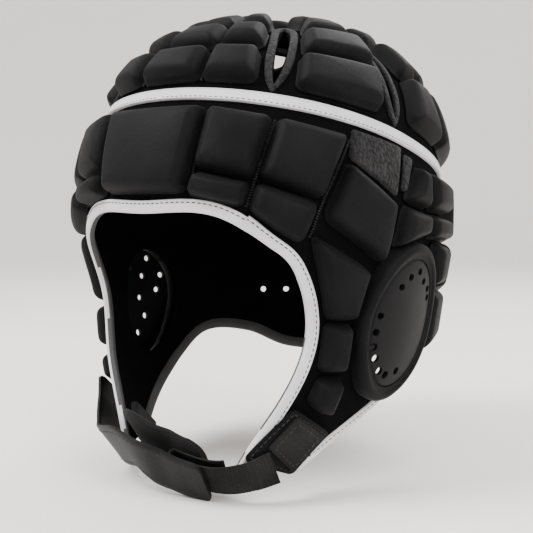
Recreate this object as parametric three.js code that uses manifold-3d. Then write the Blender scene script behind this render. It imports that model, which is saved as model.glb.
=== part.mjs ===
// Scrum cap: a soft helmet of moulded foam blocks sewn to a fabric shell, with a chin strap.
// Millimetres, +Z up. The origin is the point of the lining that sits on the top of the head.
// The wearer faces -Y, and the wearer's left is +X.
// A place on the cap is a turn in degrees (0 at the brow, 90 at the left ear, 180 at the nape)
// and a level (0 at the top, 1 at the widest girth, about 1.9 at the tips of the cheeks).

import * as THREE from 'three';
import { mergeVertices } from 'three/addons/utils/BufferGeometryUtils.js';
import Module from 'manifold-3d';

const wasm = await Module();
wasm.setup();

// Sizes of the shell, measured on the outside of its fabric
const halfWidth = 92.3;
const browReach = 105.5;
const napeReach = 108.7;
const crownRise = 107.5;
const sideDrop = 138;
const crownLean = 7.1;
const wall = 2;
const crownRoundness = 2.6;
const girthRoundness = 2.15;

// Foam blocks: how far they stand out, their sewn web and the slope of their sides
const padRise = 8;
const padWeb = 1.4;
const padSlope = 3.4;
const padCrown = 0.8;
const seat = 0.5;

// Tape round the crown
const bandHeight = 6.5;
const bandThickness = 1.2;

// Binding round the face opening and the neck edge
const bindingWidth = 7;
const bindingProud = 1.2;
const bindingLining = 1;
const bindingGap = 0.35;

// Slots of the crown and the rough tape round them
const slotHalfWidth = 3.1;
const rearSlotHalfWidth = 4.6;
const slotBar = 2.2;
const edgingWidth = 4.3;
const edgingThickness = 1.4;
const insetThickness = 1.2;
const ventHoleRadius = 2;

// Ears: a padded roll round a flat cover with holes
const earTurn = 84;
const earLevel = 1.343;
const earTilt = 13;
const earCoverHalfWidth = 21.8;
const earCoverHalfHeight = 32.3;
const earRollWidth = 6.2;
const earRollExtraHeight = 2.6;
const earRollRise = 9.6;
const earCoverLift = 4.6;
const earCoverThickness = 1.8;
const earCoverBulge = 1.4;
const earCoverGap = 0.4;
const earOpeningShare = 0.86;
const earHoleRadius = 1.9;

// Chin strap
const webbingWidth = 20;
const webbingThickness = 1.5;
const webbingLoopGap = 4.2;
const flapWidth = 25;
const flapThickness = 2.4;
const flapOffset = 2.7;
const tabWidth = 27;
const tabThickness = 4.6;
const tabOffset = -7.9;
const tabRaise = 3;
const anchorLift = 1.7;
const anchorThickness = 1.3;
const pocketThickness = 1.6;

// Girths below the widest level: drop, half width, reach in front and behind, as shares
const girthRows = [
  [0, 1, 1, 1],
  [0.267, 0.947, 0.915, 0.967],
  [0.533, 0.888, 0.908, 0.867],
  [0.8, 0.713, 0.908, 0.715],
  [1, 0.598, 0.882, 0.545],
];

// Edge of the face opening on the left, from the brow to the tip of the cheek: turn, level
const faceRows = [
  [0, 0.957], [18.4, 0.954], [29, 0.984], [38, 1.052],
  [45.5, 1.145], [49.7, 1.364], [44.3, 1.619], [34.8, 1.861],
];

// Neck edge on the left, from the tip of the cheek to the nape: turn, level
const neckRows = [
  [58.9, 1.898], [76.2, 1.761], [97.6, 1.619], [114.1, 1.517],
  [132.3, 1.532], [150.7, 1.607], [180, 1.616],
];

// Faces of the shell: across the brow, round the nape, across a cheek tip, and downwards
const browColumns = 12;
const napeColumns = 26;
const tipColumns = 1;
const crownRows = 8;
const dropRows = 9;

// Foam blocks of each panel, from its top to its foot. Each block is a row of four corners:
// turn and level of the top fore, top aft, foot fore and foot aft corner.
const centrePanels = {
  forehead_pad: [[-18.6, 0.668, 18.6, 0.668, -15, 0.897, 15, 0.897]],
  crown_front_pad: [
    [-34, 0.1, 34, 0.1, -36, 0.19, 36, 0.19],
    [-14.5, 0.205, 14.5, 0.205, -14.8, 0.322, 14.8, 0.322],
    [-14, 0.345, 14, 0.345, -13.6, 0.447, 13.6, 0.447],
    [-12.8, 0.469, 12.8, 0.469, -12.6, 0.578, 12.6, 0.578],
  ],
  crown_rear_pad: [
    [166, 0.215, 194, 0.215, 157, 0.388, 203, 0.388],
    [162.4, 0.408, 197.6, 0.408, 162.4, 0.598, 197.6, 0.598],
    [162.4, 0.62, 197.6, 0.62, 162.4, 0.85, 197.6, 0.85],
  ],
  nape_pad: [
    [162.2, 0.96, 197.8, 0.96, 162.2, 1.135, 197.8, 1.135],
    [162.2, 1.153, 197.8, 1.153, 162.2, 1.323, 197.8, 1.323],
    [162.2, 1.349, 197.8, 1.349, 162.2, 1.55, 197.8, 1.55],
  ],
};
const sidePanels = {
  brow_pad: [
    [20.1, 0.669, 38.7, 0.699, 18.1, 0.827, 33.9, 0.859],
    [17.9, 0.845, 33.4, 0.877, 16.2, 0.902, 31.6, 0.935],
  ],
  temple_pad: [
    [40.6, 0.703, 60.4, 0.745, 35.9, 0.858, 52.9, 0.914],
    [35.6, 0.876, 52, 0.932, 33.6, 0.944, 47.4, 1.044],
  ],
  kite_pad: [[60.6, 0.818, 77.2, 0.928, 53.9, 0.965, 73, 1.12]],
  cheek_pad: [
    [50.6, 1.022, 68.6, 1.148, 55.2, 1.312, 64.1, 1.322],
    [55.2, 1.332, 63.7, 1.341, 54.6, 1.497, 63, 1.506],
    [55, 1.527, 63.4, 1.537, 53.3, 1.612, 62.3, 1.672],
  ],
  behind_ear_pad: [
    [89.8, 0.822, 93, 0.832, 82.9, 0.918, 95.6, 0.946],
    [82.2, 0.937, 95.3, 0.963, 77.8, 1.07, 94.4, 1.024],
  ],
  side_pad: [
    [96.4, 0.834, 117.6, 0.87, 97.4, 0.948, 118, 0.962],
    [97.2, 0.966, 118, 0.98, 97.6, 1.04, 118.2, 1.06],
    [103.2, 1.066, 118.3, 1.08, 104.2, 1.232, 118.5, 1.24],
    [104.2, 1.252, 118.6, 1.26, 101.6, 1.49, 117.6, 1.446],
  ],
  flank_pad: [
    [120.2, 0.875, 137.2, 0.906, 120.4, 1.052, 137.2, 1.092],
    [120.4, 1.07, 137.2, 1.11, 120.4, 1.252, 137.2, 1.318],
    [120.4, 1.27, 137.2, 1.345, 120.4, 1.446, 137.2, 1.474],
  ],
  nape_side_pad: [
    [139.4, 0.918, 160, 0.952, 139.4, 1.1, 160, 1.134],
    [139.4, 1.118, 160, 1.152, 139.4, 1.32, 160, 1.322],
    [139.4, 1.346, 160, 1.348, 139.4, 1.492, 160, 1.546],
  ],
  crown_brow_pad: [
    [16.4, 0.205, 37.4, 0.21, 16.6, 0.322, 35.4, 0.325],
    [16, 0.345, 34.8, 0.348, 15.6, 0.447, 33.6, 0.452],
    [15, 0.469, 33, 0.478, 14.8, 0.579, 32.6, 0.592],
  ],
  crown_temple_pad: [
    [60, 0.1, 84, 0.1, 60, 0.235, 84, 0.238],
    [58.6, 0.25, 84, 0.255, 52.6, 0.356, 83, 0.362],
    [51.6, 0.372, 82, 0.38, 49.2, 0.484, 79.6, 0.512],
    [48, 0.5, 78.6, 0.53, 45.8, 0.609, 74.6, 0.662],
  ],
  crown_side_pad: [
    [96, 0.105, 117, 0.105, 97, 0.24, 127, 0.245],
    [97.4, 0.258, 128, 0.264, 97.6, 0.362, 129.5, 0.366],
    [97.8, 0.38, 109.6, 0.385, 97.4, 0.518, 109.5, 0.538],
    [97.2, 0.538, 109.4, 0.56, 89.8, 0.688, 109, 0.744],
  ],
  crown_flank_pad: [
    [111.8, 0.388, 137.4, 0.395, 111.7, 0.542, 137.4, 0.578],
    [111.6, 0.566, 137.4, 0.6, 111.2, 0.75, 137.4, 0.816],
  ],
  crown_nape_side_pad: [
    [139.6, 0.4, 160.2, 0.405, 139.6, 0.582, 160.2, 0.596],
    [139.6, 0.604, 160.2, 0.618, 139.6, 0.82, 160.2, 0.844],
  ],
};

// Rough fabric let in beside the temple and behind the seam, as block rows
const insetPanels = {
  temple_inset: [[63.2, 0.724, 82.4, 0.766, 61.6, 0.803, 79.4, 0.905]],
  side_inset: [[84.2, 0.786, 88.4, 0.797, 82.2, 0.888, 84.4, 0.89]],
};

// Slots on the left: turn and level of the foot and the top, half width,
// how blunt the ends are, and where a sewn bar crosses (-1 foot, 1 top, 2 none)
const slotRows = {
  front: [38.6, 0.597, 45.5, 0.25, slotHalfWidth, 2, -0.17],
  side: [82.2, 0.68, 90, 0.4, slotHalfWidth * 0.8, 2, 0.07],
  rear: [141, 0.345, 149, 0.12, rearSlotHalfWidth, 6, 2],
};

// Small holes through the lining low at the back: turn, level
const ventRows = [[138.3, 1.333], [148, 1.333]];

// Holes of the ear cover as shares of its half width and half height
const earHoleRows = [
  [0.06, 0.83], [-0.24, 0.71], [0.34, 0.7], [-0.48, 0.53], [0.62, 0.68], [0.72, 0.46],
  [-0.84, -0.5], [-0.68, -0.65], [-0.42, -0.82], [-0.18, -0.83], [0.16, -0.75],
  [-0.88, 0.02], [-0.92, -0.24],
];

// Middle line of the strap where it hangs free below the chin, from left to right: shares of the
// half width, of the reach in front and of the drop, and the backward tilt of its width in degrees
const strapRows = [
  [0.462, 0.72, 0.884, 39], [0.325, 0.792, 0.9, 38], [0.13, 0.824, 0.891, 33],
  [0.005, 0.838, 0.872, 30], [-0.112, 0.856, 0.85, 31], [-0.268, 0.84, 0.82, 35],
];

// Corners of the cloth under the webbing and of the pocket on it: turn and level of the
// upper fore, upper aft, lower fore and lower aft corner
const anchorCorners = [49.4, 1.628, 66.2, 1.745, 36.6, 1.812, 55.8, 1.893];
const pocketCorners = [50.8, 1.655, 63.6, 1.747, 44, 1.768, 55.4, 1.878];

// Ends of the strap's layers on the cheeks: turn, level, lift and tilt. The webbing starts on
// the outside of the left cheek; the right cheek's tip lies between the flap and the tab.
const webbingStartRows = [[47.8, 1.842, 4.8, 30]];
const flapEndRows = [[-47, 1.84, 10.5, 42], [-56, 1.725, 10, 44], [-61, 1.65, 10, 44]];
const tabEndRows = [[-44.5, 1.875, -9.6, 36], [-49.5, 1.836, -9.2, 38], [-53.6, 1.787, -8.8, 40]];

const degree = Math.PI / 180;
const lerp = THREE.MathUtils.lerp;

// Smooth value of one column of the girth table at a share of the drop
function girthShare(drop, column) {
  const last = girthRows.length - 1;
  let row = 0;
  while (row < last - 1 && drop > girthRows[row + 1][0]) row += 1;
  const slope = (k) => {
    if (k === 0) return 0;
    const before = girthRows[k - 1];
    const after = girthRows[Math.min(k + 1, last)];
    return (after[column] - before[column]) / (after[0] - before[0]);
  };
  const span = girthRows[row + 1][0] - girthRows[row][0];
  const t = Math.min((drop - girthRows[row][0]) / span, 1.2);
  const from = girthRows[row][column] * (1 + 2 * t) * (1 - t) ** 2;
  const to = girthRows[row + 1][column] * t * t * (3 - 2 * t);
  const leave = slope(row) * span * t * (1 - t) ** 2;
  const arrive = slope(row === last - 1 ? last : row + 1) * span * t * t * (t - 1);
  return from + to + leave + arrive;
}

// Point of the shell's outer face at a turn and a level
function shellPoint(turn, level) {
  const lean = level * Math.PI / 2;
  const s = Math.sin(Math.min(lean, Math.PI / 2));
  const c = Math.max(Math.cos(lean), 0);
  const round = (s ** crownRoundness + c ** crownRoundness) ** (-1 / crownRoundness);
  const drop = Math.max(level - 1, 0);
  const height = level <= 1 ? crownRise * round * c : -sideDrop * drop;
  const girth = (column) => (level <= 1 ? round * s : girthShare(drop, column));
  const side = Math.sin(turn * degree);
  const ahead = Math.cos(turn * degree);
  const q = Math.abs(side) ** girthRoundness + Math.abs(ahead) ** girthRoundness;
  const oval = q ** (-1 / girthRoundness);
  const reach = ahead > 0 ? browReach * girth(2) : napeReach * girth(3);
  const up = THREE.MathUtils.clamp(height / crownRise, 0, 1);
  return new THREE.Vector3(
    halfWidth * girth(1) * oval * side,
    -reach * oval * ahead + crownLean * (up * up * (3 - 2 * up) - 1),
    height - crownRise + wall,
  );
}

// Vectors along the turn and the level, per degree and per level
function shellTangents(turn, level) {
  const step = 0.001;
  const turnStep = 0.05;
  const low = Math.max(level, step);
  const along = shellPoint(turn + turnStep, low).sub(shellPoint(turn - turnStep, low));
  const down = shellPoint(turn, low + step).sub(shellPoint(turn, low - step));
  return [along.divideScalar(2 * turnStep), down.divideScalar(2 * step)];
}

// Point at a lift above the shell's outer face; a negative lift lies inside it
function place(turn, level, lift) {
  if (level < 0.004) return shellPoint(turn, level).add(new THREE.Vector3(0, 0, lift));
  const [along, down] = shellTangents(turn, level);
  return shellPoint(turn, level).addScaledVector(down.cross(along).normalize(), lift);
}

// Turn and level reached by going sideways and upwards by two lengths
function walk(turn, level, sideways, upwards) {
  const [along, down] = shellTangents(turn, level);
  return [turn + sideways / along.length(), level - upwards / down.length()];
}

// Collects faces and closes them into one body whose faces point outwards
class Skin {
  constructor() {
    this.corners = [];
  }

  face(a, b, c) {
    this.corners.push(a, b, c);
  }

  quad(a, b, c, d) {
    this.face(a, b, c);
    this.face(a, c, d);
  }

  // Quads over a grid of points, given as rows of equal length
  grid(rows, flip = false) {
    for (let i = 0; i + 1 < rows.length; i += 1) {
      for (let j = 0; j + 1 < rows[i].length; j += 1) {
        const ring = [rows[i][j], rows[i][j + 1], rows[i + 1][j + 1], rows[i + 1][j]];
        if (flip) ring.reverse();
        this.quad(...ring);
      }
    }
  }

  geometry() {
    const tiny = 1e-4;
    const flat = this.corners.flatMap((p) => [p.x, p.y, p.z]);
    const loose = new THREE.BufferGeometry();
    loose.setAttribute('position', new THREE.Float32BufferAttribute(flat, 3));
    const merged = mergeVertices(loose, tiny);
    const index = merged.index.array;
    const kept = [];
    for (let k = 0; k < index.length; k += 3) {
      const [a, b, c] = [index[k], index[k + 1], index[k + 2]];
      if (a !== b && b !== c && c !== a) kept.push(a, b, c);
    }
    if (volumeOf(merged.attributes.position, kept) < 0) kept.reverse();
    merged.setIndex(kept);
    return merged;
  }
}

// Signed volume inside a list of faces
function volumeOf(position, index) {
  const [a, b, c] = [new THREE.Vector3(), new THREE.Vector3(), new THREE.Vector3()];
  let sum = 0;
  for (let k = 0; k < index.length; k += 3) {
    a.fromBufferAttribute(position, index[k]);
    b.fromBufferAttribute(position, index[k + 1]);
    c.fromBufferAttribute(position, index[k + 2]);
    sum += a.dot(b.cross(c)) / 6;
  }
  return sum;
}

// Solid between two grids of points of the same size, with walls round their edges
function slab(top, bottom) {
  const skin = new Skin();
  skin.grid(top);
  skin.grid(bottom, true);
  const columns = (rows, j) => rows.map((row) => row[j]);
  const last = top.length - 1;
  const end = top[0].length - 1;
  skin.grid([bottom[0], top[0]]);
  skin.grid([top[last], bottom[last]]);
  skin.grid([columns(top, 0), columns(bottom, 0)]);
  skin.grid([columns(bottom, end), columns(top, end)]);
  return skin.geometry();
}

// Solid swept by a closed section: rows of section points, joined end to end when looped
function sweep(sections, looped) {
  const skin = new Skin();
  const rows = sections.map((section) => [...section, section[0]]);
  if (looped) rows.push(rows[0]);
  skin.grid(rows);
  if (!looped) {
    const cap = (section, flip) => {
      for (let k = 1; k + 1 < section.length; k += 1) {
        const ring = [section[0], section[k], section[k + 1]];
        if (flip) ring.reverse();
        skin.face(...ring);
      }
    };
    cap(sections[0], true);
    cap(sections[sections.length - 1], false);
  }
  return skin.geometry();
}

// Closed plug through the shell inside an outline of turns and levels
function plug(outline, low, high) {
  const skin = new Skin();
  const middle = outline.reduce((sum, [t, l]) => [sum[0] + t, sum[1] + l], [0, 0]);
  const [turn, level] = middle.map((value) => value / outline.length);
  const ring = (lift) => outline.map(([t, l]) => place(t, l, lift));
  const [upper, lower] = [ring(high), ring(low)];
  const [over, under] = [place(turn, level, high), place(turn, level, low)];
  outline.forEach((_, k) => {
    const next = (k + 1) % outline.length;
    skin.face(over, upper[k], upper[next]);
    skin.face(under, lower[next], lower[k]);
    skin.quad(upper[k], lower[k], lower[next], upper[next]);
  });
  return skin.geometry();
}

function toSolid(geometry) {
  const vertProperties = new Float32Array(geometry.attributes.position.array);
  const triVerts = new Uint32Array(geometry.index.array);
  return new wasm.Manifold(new wasm.Mesh({ numProp: 3, vertProperties, triVerts }));
}

function toGeometry(solid) {
  const mesh = solid.getMesh();
  const geometry = new THREE.BufferGeometry();
  geometry.setAttribute('position', new THREE.BufferAttribute(mesh.vertProperties, 3));
  geometry.setIndex(new THREE.BufferAttribute(mesh.triVerts, 1));
  return geometry;
}

// The body of a geometry with plugs taken out of it
function pierced(geometry, plugs) {
  let solid = toSolid(geometry);
  for (const tool of plugs) solid = solid.subtract(toSolid(tool));
  return toGeometry(solid);
}

// Turn and level of the middle of the crown tape
function bandLevel(turn) {
  return 0.7585 - 0.147 * Math.cos(turn * degree) + 0.0065 * Math.cos(2 * turn * degree);
}

// Edge of the face opening from the right tip over the brow to the left tip
function faceEdge() {
  const left = faceRows.map(([turn, level]) => new THREE.Vector2(turn, level));
  const right = faceRows.slice(1).map(([turn, level]) => new THREE.Vector2(-turn, level));
  return new THREE.SplineCurve([...right.reverse(), ...left]);
}

// Neck edge from the left tip round the nape to the right tip
function neckEdge() {
  const left = neckRows.map(([turn, level]) => new THREE.Vector2(turn, level));
  const right = neckRows.slice(0, -1).map(([turn, level]) => new THREE.Vector2(360 - turn, level));
  return new THREE.SplineCurve([...left, ...right.reverse()]);
}

// Turn and level at a share of an edge, moved into the shell by an inset
function insetPoint(edge, share, inset) {
  const { x: turn, y: level } = edge.getPoint(share);
  const tangent = edge.getTangent(share);
  const [along, down] = shellTangents(turn, level);
  const run = new THREE.Vector2(tangent.x * along.length(), tangent.y * down.length()).normalize();
  return walk(turn, level, run.y * inset, run.x * inset);
}

// Share of an inset edge at which a measure of its turn and level passes a value
function crossing(edge, inset, measure, value, from, to) {
  let [low, high] = [from, to];
  const sign = Math.sign(measure(...insetPoint(edge, high, inset)) - value);
  for (let k = 0; k < 40; k += 1) {
    const middle = (low + high) / 2;
    const side = Math.sign(measure(...insetPoint(edge, middle, inset)) - value);
    if (side === sign) high = middle;
    else low = middle;
  }
  return (low + high) / 2;
}

// Lens of a slot between two places along it, as an outline of turns and levels
function slotOutline(row, side, from, to, widen, steps) {
  const [footTurn, footLevel, topTurn, topLevel, half, blunt] = row;
  const middle = [(footTurn + topTurn) / 2, (footLevel + topLevel) / 2];
  const length = shellPoint(footTurn, footLevel).distanceTo(shellPoint(topTurn, topLevel));
  const reach = 1 + 2 * widen / length;
  const sharpness = widen > 0 ? blunt * 2 : blunt;
  const at = (along, across) => {
    const t = lerp(footTurn, topTurn, (along * reach + 1) / 2);
    const l = lerp(footLevel, topLevel, (along * reach + 1) / 2);
    const width = (half + widen) * (1 - Math.abs(along) ** sharpness);
    const [turn, level] = walk(t, l, across * width, 0);
    return [side * turn, level];
  };
  const points = [];
  for (let k = 0; k < steps; k += 1) points.push(at(lerp(from, to, k / steps), 1));
  for (let k = 0; k < steps; k += 1) points.push(at(lerp(to, from, k / steps), -1));
  return middle ? points : [];
}

// Round outline of a small hole
function roundOutline(turn, level, radius, sides) {
  const points = [];
  for (let k = 0; k < sides; k += 1) {
    const angle = (k / sides) * 2 * Math.PI;
    points.push(walk(turn, level, radius * Math.cos(angle), radius * Math.sin(angle)));
  }
  return points;
}

// Plugs of all slots, each split where its sewn bar crosses it
function slotPlugs() {
  const plugs = [];
  const steps = 5;
  for (const row of Object.values(slotRows)) {
    const bar = row[6];
    const length = shellPoint(row[0], row[1]).distanceTo(shellPoint(row[2], row[3]));
    const gap = slotBar / length;
    const spans = bar > 1 ? [[-1, 1]] : [[-1, bar - gap], [bar + gap, 1]];
    for (const side of [1, -1]) {
      for (const [from, to] of spans) {
        plugs.push(plug(slotOutline(row, side, from, to, 0, steps), -wall - 4, 4));
      }
    }
  }
  return plugs;
}

// Place beside an ear: x towards the back and y upwards in the ear's tilted frame
function earPoint(side, x, y) {
  const tilt = earTilt * degree;
  const back = x * Math.cos(tilt) + y * Math.sin(tilt);
  const up = -x * Math.sin(tilt) + y * Math.cos(tilt);
  const millimetresPerTurn = halfWidth * degree * girthShare(earLevel - 1, 1);
  return [side * (earTurn + back / millimetresPerTurn), earLevel - up / sideDrop];
}

function earOutline(side, halfAcross, halfHigh, steps) {
  const points = [];
  for (let k = 0; k < steps; k += 1) {
    const angle = (k / steps) * 2 * Math.PI;
    points.push(earPoint(side, halfAcross * Math.sin(angle), halfHigh * Math.cos(angle)));
  }
  return points;
}

// Shares of the face edge at the shell's columns and rows, and where the level passes the girth
function faceShares() {
  const edge = faceEdge();
  const levelOf = (turn, level) => level;
  const corner = crossing(edge, bindingWidth, levelOf, 1, 0.5, 0.75);
  const brow = [];
  for (let k = 0; k <= browColumns; k += 1) brow.push(lerp(1 - corner, corner, k / browColumns));
  const cheek = [];
  for (let k = 0; k <= dropRows; k += 1) cheek.push(lerp(corner, 1, k / dropRows));
  return { edge, brow, cheek };
}

// Shares of the neck edge at the shell's columns, from tip to tip
function neckShares() {
  const edge = neckEdge();
  const turnOf = (turn) => turn;
  const [from] = insetPoint(edge, 0, bindingWidth);
  const shares = [0];
  for (let k = 1; k < napeColumns; k += 1) {
    const turn = lerp(from, 360 - from, k / napeColumns);
    shares.push(crossing(edge, bindingWidth, turnOf, turn, 0, 1));
  }
  return { edge, shares: [...shares, 1] };
}

// Black lining and shell: a dome cut by the face opening, the slots, the ears and the vents
function makeShell() {
  const face = faceShares();
  const neck = neckShares();
  const rim = (edge) => (share) => insetPoint(edge, share, bindingWidth);
  const brow = face.brow.map(rim(face.edge));
  const cheek = face.cheek.map(rim(face.edge));
  const cheekTip = cheek[dropRows];
  const nape = neck.shares.map(rim(neck.edge));
  const tip = [];
  for (let k = 0; k < tipColumns; k += 1) {
    tip.push([0, 1].map((axis) => lerp(cheekTip[axis], nape[0][axis], k / tipColumns)));
  }
  const mirrored = (points) => points.map(([turn, level]) => [360 - turn, level]).reverse();
  const foot = [...tip, ...nape, ...mirrored(tip)];
  const columns = foot.length - 1;
  const start = brow[browColumns][0];
  const girth = foot.map((_, k) => [lerp(start, 360 - start, k / columns), 1]);

  // Blend between the four edges of the part below the girth
  const blend = (j, i, axis) => {
    const [s, w] = [j / columns, i / dropRows];
    const left = cheek[i][axis];
    const right = axis === 0 ? 360 - left : left;
    const ruled = (1 - w) * girth[j][axis] + w * foot[j][axis] + (1 - s) * left + s * right;
    const upper = lerp(girth[0][axis], girth[columns][axis], s);
    const lower = lerp(foot[0][axis], foot[columns][axis], s);
    return ruled - lerp(upper, lower, w);
  };

  const ring = [...brow.slice(0, -1), ...girth];
  const layer = (lift) => {
    const crown = [];
    for (let i = 0; i <= crownRows; i += 1) {
      const points = ring.map(([turn, level]) => place(turn, level * (i / crownRows), lift));
      if (i === 0) points.fill(points[0]);
      points[points.length - 1] = points[0];
      crown.push(points);
    }
    const drop = [crown[crownRows].slice(browColumns)];
    for (let i = 1; i <= dropRows; i += 1) {
      drop.push(foot.map((_, j) => place(blend(j, i, 0), blend(j, i, 1), lift)));
    }
    return [crown, drop];
  };
  const [outerCrown, outerDrop] = layer(0);
  const [innerCrown, innerDrop] = layer(-wall);
  const column = (rows, j) => rows.map((row) => row[j]);
  const skin = new Skin();
  skin.grid(outerCrown);
  skin.grid(outerDrop);
  skin.grid(innerCrown, true);
  skin.grid(innerDrop, true);
  skin.grid([outerCrown, innerCrown].map((rows) => rows[crownRows].slice(0, browColumns + 1)));
  skin.grid([outerDrop[dropRows], innerDrop[dropRows]]);
  skin.grid([column(outerDrop, 0), column(innerDrop, 0)]);
  skin.grid([column(innerDrop, columns), column(outerDrop, columns)]);

  const plugs = slotPlugs();
  const opening = [earCoverHalfWidth * earOpeningShare, earCoverHalfHeight * earOpeningShare];
  for (const side of [1, -1]) {
    plugs.push(plug(earOutline(side, ...opening, 20), -wall - 8, 8));
    for (const [turn, level] of ventRows) {
      plugs.push(plug(roundOutline(side * turn, level, ventHoleRadius, 8), -wall - 4, 4));
    }
  }
  return pierced(skin.geometry(), plugs);
}

// Panel of foam blocks joined by a thin sewn web, laid on the shell
function makePanel(rows, side, rise, web) {
  const lines = [];
  rows.forEach((row) => {
    const [t0, l0, t1, l1, t2, l2, t3, l3] = row;
    const corner = (t, l) => shellPoint(t, l);
    const width = corner((t0 + t2) / 2, (l0 + l2) / 2).distanceTo(
      corner((t1 + t3) / 2, (l1 + l3) / 2));
    const length = corner((t0 + t1) / 2, (l0 + l1) / 2).distanceTo(
      corner((t2 + t3) / 2, (l2 + l3) / 2));
    lines.push({ row, width, length });
  });
  const widest = Math.max(...lines.map((line) => line.width));
  const longestCell = 19;
  const cuts = (size, extent) => {
    const slope = Math.min(padSlope / size, 0.3);
    const inner = Math.max(2, Math.ceil((extent - 2 * padSlope) / longestCell));
    const shares = [0];
    for (let k = 0; k <= inner; k += 1) shares.push(lerp(slope, 1 - slope, k / inner));
    return [...shares, 1];
  };
  const top = [];
  const bottom = [];
  lines.forEach(({ row, width, length }, block) => {
    const [t0, l0, t1, l1, t2, l2, t3, l3] = row;
    const across = cuts(width, widest);
    const downwards = cuts(length, length);
    downwards.forEach((v, i) => {
      const outer = i === 0 || i === downwards.length - 1;
      const free = (i === 0 && block === 0)
        || (i === downwards.length - 1 && block === rows.length - 1);
      const upper = [];
      const lower = [];
      across.forEach((u, j) => {
        const turn = lerp(lerp(t0, t1, u), lerp(t2, t3, u), v);
        const level = lerp(lerp(l0, l1, u), lerp(l2, l3, u), v);
        const rim = free || j === 0 || j === across.length - 1;
        const dome = padCrown * (1 - (2 * u - 1) ** 2) * (1 - (2 * v - 1) ** 2);
        const proud = outer ? web : rise + dome * (rise / padRise);
        lower.push(place(side * turn, level, seat));
        upper.push(rim ? lower[j] : place(side * turn, level, seat + proud));
      });
      top.push(upper);
      bottom.push(lower);
    });
  });
  const skin = new Skin();
  skin.grid(top);
  skin.grid(bottom, true);
  return skin.geometry();
}

// Flat piece of rough fabric, with a cut edge
function makeInset(row, side) {
  const [t0, l0, t1, l1, t2, l2, t3, l3] = row;
  const cells = 3;
  const layer = (lift) => {
    const rows = [];
    for (let i = 0; i <= cells; i += 1) {
      const line = [];
      for (let j = 0; j <= cells; j += 1) {
        const [u, v] = [j / cells, i / cells];
        const turn = lerp(lerp(t0, t1, u), lerp(t2, t3, u), v);
        const level = lerp(lerp(l0, l1, u), lerp(l2, l3, u), v);
        line.push(place(side * turn, level, lift));
      }
      rows.push(line);
    }
    return rows;
  };
  return slab(layer(seat + insetThickness), layer(seat));
}

// Round block on the very top
function makeCrownTop() {
  const steps = 16;
  const rims = [[0.082, 0], [0.062, padRise * 0.8], [0.036, padRise], [0, padRise + padCrown]];
  const skin = new Skin();
  const ring = (level, lift) => {
    const points = [];
    for (let k = 0; k <= steps; k += 1) {
      points.push(place((k % steps) * 360 / steps, level, seat + lift));
    }
    return points;
  };
  const apex = (lift) => new Array(steps + 1).fill(place(0, 0, seat + lift));
  const top = rims.map(([level, lift]) => (level === 0 ? apex(lift) : ring(level, lift)));
  skin.grid(top);
  skin.grid([top[0], apex(0)], true);
  return skin.geometry();
}

// White tape sewn round the crown
function makeBand() {
  const steps = 48;
  const sections = [];
  for (let k = 0; k < steps; k += 1) {
    const turn = (k / steps) * 360;
    const at = (upwards, lift) => place(...walk(turn, bandLevel(turn), 0, upwards), lift);
    const half = bandHeight / 2;
    const [low, high] = [seat, seat + bandThickness];
    sections.push([at(-half, low), at(-half, high), at(half, high), at(half, low)]);
  }
  return sweep(sections, true);
}

// White binding folded over an edge, at given shares of it
function makeBinding(edge, shares) {
  const inner = bindingWidth - bindingGap;
  const round = bindingWidth * 0.16;
  const out = bindingProud;
  const lining = -wall - bindingLining;
  const section = [
    [inner, out], [round, out], [0, out - round], [0, lining + round], [round, lining],
    [inner, lining],
  ];
  const at = (share) => section.map(([inset, lift]) => (
    place(...insetPoint(edge, share, inset), lift)));
  return sweep(shares.map(at), false);
}

// Rough tape sewn round a slot
function makeEdging(row, side) {
  const steps = 8;
  const inside = slotOutline(row, side, -1, 1, 0.25, steps);
  const outside = slotOutline(row, side, -1, 1, edgingWidth, steps);
  const [low, high] = [seat, seat + edgingThickness];
  const sections = inside.map((place0, k) => [
    place(...place0, low), place(...place0, high),
    place(...outside[k], high), place(...outside[k], low),
  ]);
  return sweep(sections, true);
}

// Padded roll round the ear, held off the neck binding
function makeEarRoll(side) {
  const steps = 28;
  const neck = neckEdge();
  const inner = [earCoverHalfWidth + earCoverGap, earCoverHalfHeight + earCoverGap];
  const outer = [
    earCoverHalfWidth + earRollWidth,
    earCoverHalfHeight + earRollWidth + earRollExtraHeight,
  ];
  const turnOf = (turn) => turn;
  const clearOfNeck = (turn, level) => {
    const inset = bindingWidth + bindingGap;
    const share = crossing(neck, inset, turnOf, Math.abs(turn), 0, 0.5);
    return level < insetPoint(neck, share, inset)[1];
  };
  const profile = [[1, 0.06], [0.94, 0.6], [0.66, 1], [0.28, 0.96], [0, 0.62], [0, 0.06]];
  const sections = [];
  for (let k = 0; k < steps; k += 1) {
    const angle = (k / steps) * 2 * Math.PI;
    const at = (share) => earPoint(
      side,
      lerp(inner[0], outer[0], share) * Math.sin(angle),
      lerp(inner[1], outer[1], share) * Math.cos(angle),
    );
    let reach = 1;
    while (reach > 0.3 && !clearOfNeck(...at(reach))) reach -= 0.02;
    sections.push(profile.map(([share, lift]) => place(...at(share * reach), lift * earRollRise)));
  }
  return sweep(sections, true);
}

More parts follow.
